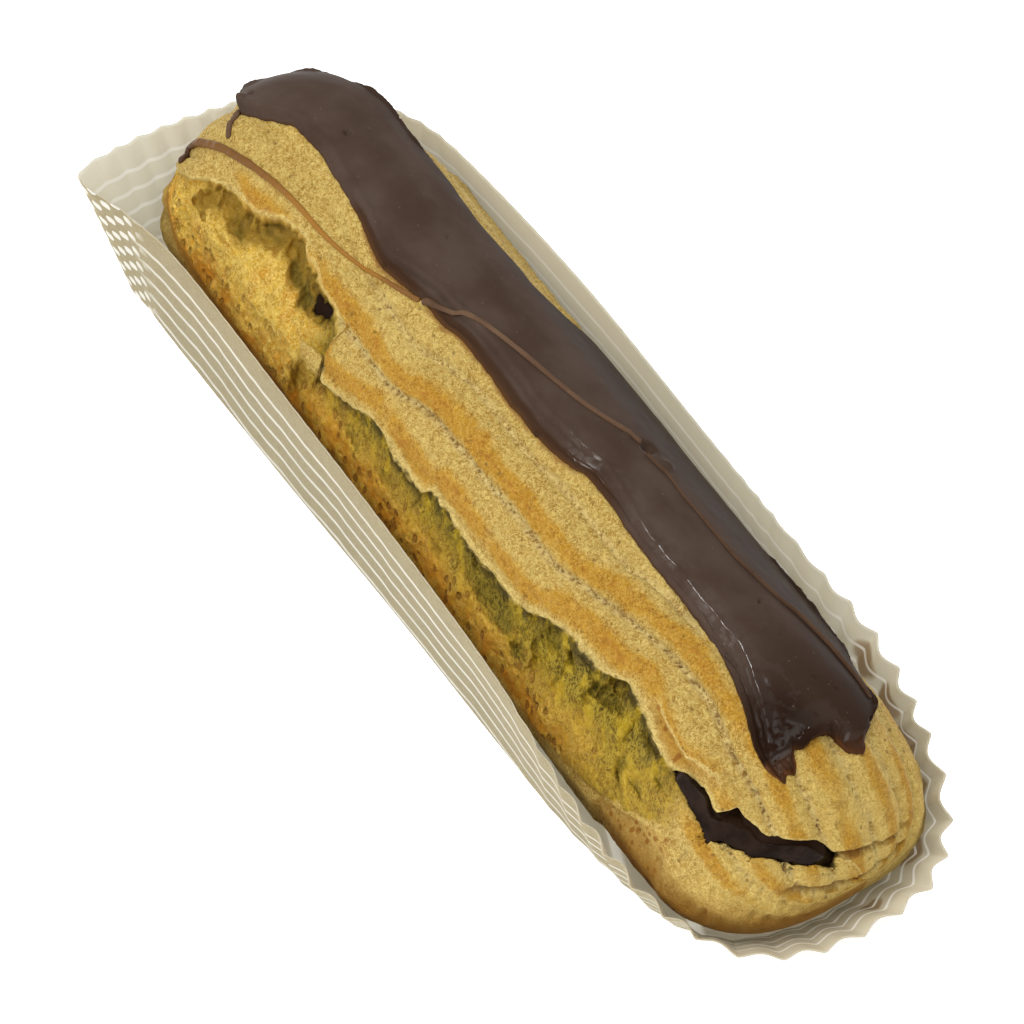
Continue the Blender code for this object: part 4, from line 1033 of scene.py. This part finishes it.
def paper_case(finish):
    """Paper of even thickness: a profile from the middle of the outer floor out, up the outer wall, over the
    rim, down the inner wall and back in, carried round the case. Pleats are |sin| folds that only push
    outwards, wide towards the near end and narrow elsewhere."""
    columns, wall_rows, floor_rows = 1300, 26, 8
    place, at = case_path(columns)
    base, rim, height, pleat = place[:, 0:2], place[:, 2:4], place[:, 4], place[:, 5]
    away = np.roll(rim, -1, 0) - np.roll(rim, 1, 0)
    away = unit(np.stack([away[:, 1], -away[:, 0]], -1))
    wander = 1.6 * MM * waves(flat(at, 0 * at), 15 * MM, 200)
    wide = eased(rim[:, 0], 20 * MM, 34 * MM)
    fold = np.where(wide > 0.5, np.abs(np.sin(np.pi * (at + wander) / WIDE_PLEAT)),
                    np.abs(np.sin(np.pi * (at + 0.4 * wander) / NARROW_PLEAT)))
    fold = pleat * (1 - fold**1.3)
    sway = 0.5 * MM * waves(flat(at, 0 * at), 28 * MM, 201) * (pleat < 0.4 * MM)

    def skin(level, inset, floor):
        lean = base + (rim - base) * level
        push = fold * (0.25 + 0.75 * level) + sway * level * (1 - level) * 2 - inset
        return np.column_stack([lean + away * push[:, None], floor + (height - floor) * level])

    def ground(share, inset, floor):
        edge = skin(0.0, inset, floor)
        middle = np.array([0.0, 0.0, floor])
        return middle + (edge - middle) * share

    shares = np.linspace(0.15, 0.985, floor_rows)
    levels = np.linspace(0, 1, wall_rows) ** 0.9
    grid = [ground(k, 0, 0.0) for k in shares] + [skin(k, 0, 0.0) for k in levels]
    grid += [skin(k, PAPER_THICKNESS, PAPER_THICKNESS) for k in levels[::-1]]
    grid += [ground(k, PAPER_THICKNESS, PAPER_THICKNESS) for k in shares[::-1]]
    grid = np.array(grid)
    slope = np.sqrt(((rim - base) ** 2).sum(-1) + height**2)
    below = np.concatenate([np.ones(floor_rows), 1 - levels])
    below = np.concatenate([below, below[::-1]])[:, None] * slope[None, :]
    inner = np.concatenate([np.zeros(floor_rows + wall_rows), np.ones(floor_rows + wall_rows)])[:, None]
    corner = eased(rim[:, 0], -62 * MM, -68 * MM) * eased(rim[:, 1], -8 * MM, -14 * MM)
    near_end = eased(rim[:, 0], 40 * MM, 66 * MM)
    stain = np.zeros_like(below)
    for x0, y0, z0, radius in STAINS:
        apart = np.sqrt(((grid - np.array([x0, y0, z0])) ** 2).sum(-1))
        stain = np.maximum(stain, eased(apart, radius, 0.3 * radius))
    readings = dict(round=at, below_rim=below, stain=stain, inside=inner, corner=corner, near_end=near_end)
    middles = np.array([(0, 0, 0), (0, 0, PAPER_THICKNESS)])
    return rings("pleated_paper", grid, *middles, readings, finish)


def choux_finish():
    """Baked crust, gold with a pale net and brown flecks, orange bands, pitted grooves whose pits are painted
    darker as shade, and a pale torn lip that is partly a painted highlight; and, on the torn face, pale
    fibres over crumb that is tan beyond the tongue, yellow-brown to olive on this side of it, and orange
    beside the paper. Shade is painted into the hollows, the cavity, the deepest places and under the lip, and
    painted light lifts the crumb beside the paper."""
    m = Recipe("choux_crust_and_crumb", Roughness=0.7, Specular_IOR_Level=0.22)
    torn, depth, below, groove = (m.reading(k) for k in ("torn", "depth", "below_lip", "groove"))
    along, around, above_low, olive = (m.reading(k) for k in ("along", "around", "above_low", "olive"))
    tongue, seam, orange, jaw = (m.reading(k) for k in ("tongue", "seam", "browned", "jaw"))
    dug, pitted, soaking = (m.reading(k) for k in ("dug", "pits", "soaked"))
    sand = m.noise(0.36 * MM, 3, 0.7)
    curl = m.noise(0.80 * MM, 3, 0.6, bend=1.6)
    grain = m.noise(1.3 * MM, 3, 0.6)
    patch = m.noise(4.2 * MM, 4, 0.6)
    cloud = m.noise(12 * MM, 2, 0.5)
    sandy, patchy = sand * 0.4 + grain * 0.6, patch * 0.6 + grain * 0.4
    net = m.noise(0.74 * MM, 3, 0.6, bend=0.7).crossing(0.060, 0.012)
    net = net.most(m.noise(0.48 * MM, 2, 0.6, bend=0.5).crossing(0.050, 0.010) * 0.8)

    warm = (orange * 1.25 + (patch - 0.5) * 0.9 * orange).least(1.0).most(0.0)
    amber = m.painted(AMBER.dark, (AMBER.light, sandy.rise(0.36, 0.60)), (AMBER.net, net * 0.5))
    ragged = (grain - 0.5) * 1.4 * MM
    shelf = along.rise(45 * MM, 47 * MM) * along.rise(61 * MM, 58 * MM) * (1 - torn)
    on_shelf = (below + ragged * 0.4).rise(-2.4 * MM, -2.0 * MM) * shelf
    shelf_edge = (below + 2.4 * MM + ragged * 0.4).size().rise(0.55 * MM, 0.15 * MM) * shelf
    torn_ovals = m.cells(1.5 * MM, at=m.lines(along * 1.3, around)).rise(0.40, 0.22) * on_shelf
    # The torn lip's pale edge: partly the broken crust's own colour, partly a painted highlight.
    pale_lip_and_highlight = (below + ragged * 0.6).rise(-0.65 * MM, -0.1 * MM) * below.rise(0.7 * MM, 0.2 * MM)
    fleck = curl.crossing(0.030, 0.008) * grain.rise(0.54, 0.66)
    baked = above_low.rise(5.0 * MM, 0.5 * MM) * torn * along.rise(-18 * MM, -30 * MM)
    baked = baked.most(around.rise(-25 * MM, -34 * MM) * along.rise(44 * MM, 54 * MM)) * (0.5 + patch)
    golden = m.painted(
        GOLD.dark, (GOLD.light, sandy.rise(0.36, 0.62)),
        (GOLD.patch, patchy.rise(0.48, 0.66) * 0.55),
        (GOLD.cloud, (cloud * 0.6 + grain * 0.4).rise(0.50, 0.68) * 0.5),
        (GOLD.net, net * 0.72),
        (GOLD.near_end, along.rise(56 * MM, 73 * MM) * 0.30),
        (amber, warm.rise(0.0, 0.55) * 0.85),
        (AMBER.grain, warm.rise(0.50, 1.0) * grain.rise(0.46, 0.64) * 0.6),
        (GOLD.groove, groove * net.most(grain.rise(0.42, 0.56) * 0.8) * 0.85),
        (GOLD.shelf, on_shelf * (0.2 + grain.rise(0.40, 0.58) * 0.4)),
        (GOLD.oval, torn_ovals * 0.85),
        (GOLD.lip, pale_lip_and_highlight.most(shelf_edge) * (0.30 + net * 0.5)),
        (GOLD.fleck, fleck * 0.4),
        # Painted shade: the pits along the grooves are painted dark brown.
        (GOLD.pit, pitted.rise(0.10, 0.80) * (0.45 + grain.rise(0.40, 0.60) * 0.45)),
        (GOLD.rare, m.cells(2.6 * MM).rise(0.13, 0.07) * 0.6),
        (GOLD.soaked, (soaking + (grain - 0.5) * 0.5).rise(0.25, 0.85) * 0.75),
        (GOLD.baked, baked.least(1.0) * 0.8),
        (GOLD.crack, seam * 0.85))

    lean = (patch - 0.5) * 2.0 * MM
    down = m.lines(along + around * 0.30 + lean, around * 0.6)
    fibre = m.noise(0.50 * MM, 4, 0.62, at=down)
    wool = m.noise(2.8 * MM, 4, 0.60, at=down)
    woolly = fibre * 0.5 + wool * 0.5
    hair = m.noise(0.85 * MM, 4, 0.62, at=down, bend=0.6).crossing(0.060, 0.010)
    hair = hair.most(m.noise(0.55 * MM, 3, 0.6, at=down, bend=0.4).crossing(0.050, 0.010) * 0.8)
    open_side = along.rise(-33 * MM, -24 * MM)
    tan = m.painted(TAN.dark, (TAN.light, (sand * 0.3 + grain * 0.7).rise(0.38, 0.60)),
                    (TAN.patch, patch.rise(0.50, 0.66) * 0.65), (TAN.net, net * 0.6))
    sponge = m.painted(SPONGE.dark, (SPONGE.light, woolly.rise(0.38, 0.62)),
                       (SPONGE.wool, wool.rise(0.50, 0.62) * 0.7))
    moss = m.blend(MOSS.dark, MOSS.light, woolly.rise(0.36, 0.64))
    # Painted shade under the lip: a dark olive band down from the lip, mixed with the olive crumb, and a
    # darker band just under it.
    under_lip_shade = below.rise(6.0 * MM, 0.8 * MM) * open_side * (0.15 + wool.rise(0.58, 0.42) * 0.85)
    olive_and_lip_shade = (olive + (wool - 0.5) * 0.8 * olive).rise(0.1, 0.9).most(under_lip_shade * 0.85)
    shaded = below.rise(2.2 * MM, 0.5 * MM) * open_side * wool.rise(0.62, 0.46)
    low_band = above_low.rise(13.0 * MM, 5.0 * MM) * (1 - olive) * (1 - along.rise(38 * MM, 46 * MM) * 0.7)
    # Beside the paper the crumb is orange, and it is also painted lighter: painted light where the paper wall
    # shades it.
    by_paper = above_low.rise(9.0 * MM, 3.0 * MM) * along.rise(40 * MM, 32 * MM)
    ovals = m.cells(2.1 * MM, at=m.lines(along * 1.5, around * 0.75)).rise(0.36, 0.20) * low_band
    crumb = m.painted(
        tan, (sponge, open_side),
        # Painted shade: the hollows and the cavity are painted darker brown here, and olive in the next
        # layer, where the crumb is partly olive itself.
        (CRUMB.dug, dug * (1 - open_side * 0.4) * 0.7),
        (moss, olive_and_lip_shade * 0.85),
        (CRUMB.hair, hair * (0.25 * dug + open_side * (0.66 - olive_and_lip_shade * 0.34))),
        (CRUMB.shaded, shaded * 0.8),
        # Painted shade: the deepest places of the torn face are painted darker.
        (CRUMB.deep, depth.rise(4.2 * MM, 6.5 * MM) * 0.6),
        (CRUMB.low, low_band * open_side * (patch * 1.8 - 0.3).most(0.0).least(0.6)),
        (CRUMB.low_net, low_band * open_side * net * 0.55),
        (CRUMB.by_paper, by_paper * patchy.rise(0.44, 0.58) * 0.7))
    # Painted light: the crumb is made brighter beside the paper.
    crumb = m.blend(m.tint(crumb, by_paper * 0.35 + 1), CRUMB.oval, ovals * (0.4 + open_side * 0.3))

    edge = (below + ragged).rise(0.05 * MM, 0.5 * MM)
    from_low = above_low + (patch + grain - 1) * 5 * MM * along.rise(34 * MM, 42 * MM)
    bare = torn * edge * from_low.rise(0.2 * MM, 1.6 * MM) * (1 - tongue.rise(0.2, 0.7)) * (1 - jaw)
    relief = [(grain, 0.10 * MM), (net, 0.035 * MM), (1 - fleck * 0.3 - pitted * 0.5, 0.12 * MM),
              ((fibre + hair * 0.4) * bare, 0.06 * MM), (1 - ovals * bare, 0.35 * MM)]
    return m.coat(m.blend(golden, crumb, bare), relief)


def chocolate_finish(name, dark, light, rough, ripple_depth=0.035 * MM, ior=SOFT_IOR):
    """Set chocolate: brown with faint lighter clouds, a fine ripple, and a gloss that varies a little."""
    m = Recipe(name, IOR=ior)
    cloud, ripple = m.noise(4 * MM, 3, 0.55), m.noise(1.2 * MM, 2, 0.5)
    colour = m.blend(dark, light, cloud.rise(0.3, 0.75))
    return m.coat(colour, [(ripple, ripple_depth)], roughness=rough + (cloud - 0.5) * 0.12)


def thread_on_crust_finish():
    """Drizzle that starts dark at the far end and thins to a see-through red-brown."""
    m = Recipe("drizzle_thin", Roughness=0.45, Specular_IOR_Level=0.15)
    way, cloud = m.reading("way"), m.noise(2.0 * MM, 3, 0.55)
    colour = m.painted(DRIZZLE.start, (DRIZZLE.thin, way.rise(1.0, 5.0)),
                       (DRIZZLE.thinnest, way.rise(6.0, 10.0) * 0.75),
                       (DRIZZLE.top, way.rise(12.5, 15.0) * 0.7))
    return m.coat(m.tint(colour, 0.88 + cloud * 0.24), [(cloud, 0.03 * MM)])


def icing_finish():
    """Satin chocolate icing, with lighter clouds that are partly a painted sheen, thin enough along its
    ledge, edge and drips to show red-brown, darker at the near end, painted darker down the back as shade,
    and glossy on its beads, its drips and round one ring-shaped mark."""
    m = Recipe("chocolate_icing_set", IOR=SOFT_IOR, Coat_Roughness=0.08)
    thin, edge, along, around, drip = (
        m.reading(k) for k in ("thin", "from_edge", "along", "around", "drip"))
    cloud, ripple = m.noise(9 * MM, 3, 0.55), m.noise(1.4 * MM, 3, 0.55)
    specks, spots = m.cells(1.9 * MM).rise(0.10, 0.05), m.noise(1.1 * MM, 2, 0.6)
    film = (thin + (cloud - 0.5) * 0.5) * (1 - drip)
    colour = m.painted(
        # Lighter clouds: partly the icing's own tone, partly a painted satin sheen.
        ICING.dark, (ICING.light, cloud.rise(0.3, 0.7)),
        (ICING.near_end, along.rise(40 * MM, 62 * MM) * 0.85),
        (ICING.near_front, along.rise(48 * MM, 60 * MM) * around.rise(6 * MM, 1 * MM) * 0.8),
        # Painted shade: the icing is painted darker down the back.
        (ICING.back, around.rise(9 * MM, 17 * MM) * 0.85),
        (ICING.speck, specks * 0.35),
        (ICING.film, (film * edge.rise(2.6 * MM, 0.6 * MM)).rise(0.15, 0.55) * 0.8),
        (ICING.thin_film, (film * edge.rise(1.1 * MM, 0.05 * MM)).rise(0.3, 0.9) * 0.8),
        (ICING.drip, drip * (0.5 + cloud * 0.5)),
        (ICING.drip_edge, drip * edge.rise(0.9 * MM, 0.2 * MM) * cloud.rise(0.40, 0.60) * 0.7),
        (ICING.edge, edge.rise(0.30 * MM, 0.05 * MM) * 0.4))
    bead = along.rise(4 * MM, 12 * MM) * edge.rise(0.8 * MM, 1.6 * MM) * edge.rise(4.6 * MM, 3.4 * MM)
    bead = bead * around.rise(9 * MM, 7 * MM) * (cloud * 0.5 + spots * 0.5).rise(0.46, 0.54)
    across, out = (along - 53.4 * MM) / (3.8 * MM), (around - 2.0 * MM) / (1.9 * MM)
    ring = ((across * across + out * out) ** 0.5 - 1 + (ripple - 0.5) * 1.6).size().rise(0.17, 0.09)
    gloss = bead.most(ring * along.rise(49 * MM, 50 * MM) * spots.rise(0.36, 0.42)).most(drip * 0.3)
    return m.coat(colour, [(ripple, 0.022 * MM)], roughness=0.38 + (cloud - 0.5) * 0.14, coat=gloss * 0.5)


def paper_finish():
    """Beige paper that lets light through, with white wavy lines that run with its rim, a painted light that
    makes it paler inside, dashes at the far front corner, and at the near end a painted shade that greys its
    inside, and brown stains."""
    m = Recipe("beige_lined_paper", Roughness=0.75, Specular_IOR_Level=0.2, Subsurface_Weight=1.0,
               Subsurface_Radius=(1.0, 1.0, 1.0), Subsurface_Scale=1.2 * MM)
    below, around, inside, corner = (m.reading(k) for k in ("below_rim", "round", "inside", "corner"))
    stain, near_end = m.reading("stain"), m.reading("near_end")
    fibre, mottle = m.noise(0.35 * MM, 3, 0.6), m.noise(2.2 * MM, 3, 0.6)
    sway = (m.noise(17 * MM, 2, 0.5, at=m.lines(around, 0.0)) - 0.5) * 3.4 * MM
    drop = below + sway * below.rise(1.0 * MM, 9 * MM)
    spread = m.noise(7 * MM, 3, 0.5, at=m.lines(around, below * 0.6))
    turn, line_step, dash_length, dash_step = 2 * math.pi, 3.35 * MM, 4.4 * MM, 3.0 * MM
    beat = ((drop - 4.7 * MM) / line_step * turn + turn / 4).sine()
    lines = beat.rise(0.70, 0.92) * drop.rise(3.4 * MM, 3.8 * MM) * (0.45 + spread * 0.5)
    dashes = (around / dash_length * turn).sine()
    dashes = dashes * ((below - 0.4 * MM + sway * 0.4) / dash_step * turn).sine()
    dashes = dashes.rise(0.20, 0.32) * corner * (1 - inside)
    white = (lines * (1 - corner * (1 - inside))).most(dashes).least(0.92)
    paper = m.painted(
        PAPER.dark, (PAPER.light, fibre.rise(0.35, 0.65)),
        (PAPER.mottle, mottle.rise(0.5, 0.75) * 0.35),
        # Painted light: the inside is painted paler, as if lit through the paper.
        (PAPER.inside, inside * 0.85),
        # Painted shade: the inside is greyed towards the near end.
        (PAPER.near_end, inside * near_end * 0.55),
        (PAPER.stain, (stain * (0.6 + mottle)).rise(0.40, 0.9) * 0.75),
        (PAPER.printed, white))
    return m.coat(paper, [(fibre, 0.03 * MM)])


def stage_finish():
    """White that glows a little, so that the floor meets the white surroundings without an edge."""
    m = Recipe("white_table", Base_Color=(0.95, 0.95, 0.95, 1), Roughness=0.9, Specular_IOR_Level=0.1,
               Emission_Color=(1, 1, 1, 1), Emission_Strength=0.62)
    return m.material


def white_floor(finish):
    """A wide square on the ground, which is stage and no part of the object."""
    half = 3.0
    mesh = bpy.data.meshes.new("white_floor")
    corners = [(-half, -half, 0), (half, -half, 0), (half, half, 0), (-half, half, 0)]
    mesh.from_pydata(corners, [], [(0, 1, 2, 3)])
    mesh.materials.append(finish)
    floor = bpy.data.objects.new("white_floor", mesh)
    bpy.context.scene.collection.objects.link(floor)


def soft_light(name, place, size, power):
    """A square area light at a place, aimed at the eclair."""
    lamp = bpy.data.lights.new(name, "AREA")
    lamp.size, lamp.energy = size, power
    light = bpy.data.objects.new(name, lamp)
    bpy.context.scene.collection.objects.link(light)
    light.location = place
    light.rotation_euler = (Vector(place) - Vector(VIEW_TARGET)).to_track_quat("Z", "Y").to_euler()


def studio():
    """White surroundings and four soft lights: a large one overhead, one in front, and small ones in front on
    the left and behind the far end."""
    world = bpy.data.worlds.new("white_studio")
    world.use_nodes = True
    world.node_tree.nodes["Background"].inputs["Color"].default_value = (1, 1, 1, 1)
    world.node_tree.nodes["Background"].inputs["Strength"].default_value = 0.37
    bpy.context.scene.world = world
    soft_light("overhead", (0.15, -0.12, 0.90), 1.0, 3.8)
    soft_light("front", (-0.10, -0.80, 0.55), 0.6, 1.8)
    soft_light("front_left", (-0.05, -0.30, 0.55), 0.10, 0.8)
    soft_light("far_back", (-0.33, 0.34, 0.77), 0.12, 1.4)
    bpy.context.scene.view_settings.view_transform = "Standard"


def camera():
    """The camera that takes the photograph's view."""
    lens = bpy.data.cameras.new("camera")
    lens.sensor_width, lens.lens = SENSOR, FOCAL_PIXELS * SENSOR / FRAME_PIXELS
    lens.clip_start, lens.clip_end = 0.01, 20
    view = bpy.data.objects.new("camera", lens)
    bpy.context.scene.collection.objects.link(view)
    view.location = Vector(VIEW_TARGET + TO_VIEW * VIEW_DISTANCE)
    view.rotation_euler = Vector(TO_VIEW).to_track_quat("Z", "Y").to_euler()
    bpy.context.scene.camera = view


camera()
studio()
white_floor(stage_finish())

pastry = choux_pastry(choux_finish())
cream = filling_rope(chocolate_finish("chocolate_cream", CREAM.dark, CREAM.light, 0.36))
in_mouth = mouth_cream(chocolate_finish("chocolate_cream_torn", CREAM.mouth_dark, CREAM.mouth_light, 0.28,
                                        ripple_depth=0.12 * MM, ior=1.18))
icing = icing_layer(icing_finish())
thread_finish = chocolate_finish("drizzle_chocolate", DRIZZLE.dark, DRIZZLE.light, 0.45)
crust_thread = drizzle("drizzle_on_crust", CRUST_THREAD, thread_on_crust_finish())
left_thread = drizzle("drizzle_on_icing_left", LEFT_THREAD, thread_finish)
dark_finish = chocolate_finish("drizzle_chocolate_dark", DRIZZLE.right_dark, DRIZZLE.right_light, 0.45)
right_thread = drizzle("drizzle_on_icing_right", RIGHT_THREAD, dark_finish)
dribble = drizzle("drizzle_at_far_end", DRIBBLE, thread_finish)
paper = paper_case(paper_finish())

for piece, node, slot in (
        (pastry, "choux_shell", "choux"), (cream, "chocolate_filling", "chocolate_cream"),
        (in_mouth, "chocolate_filling", "chocolate_cream"), (icing, "chocolate_icing", "chocolate_icing"),
        (crust_thread, "choux_shell", "chocolate_icing"),
        (left_thread, "chocolate_icing", "chocolate_icing"),
        (right_thread, "chocolate_icing", "chocolate_icing"),
        (dribble, "chocolate_icing", "chocolate_icing"),
        (paper, "paper_case", "paper")):
    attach(piece, "root")
    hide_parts(node)
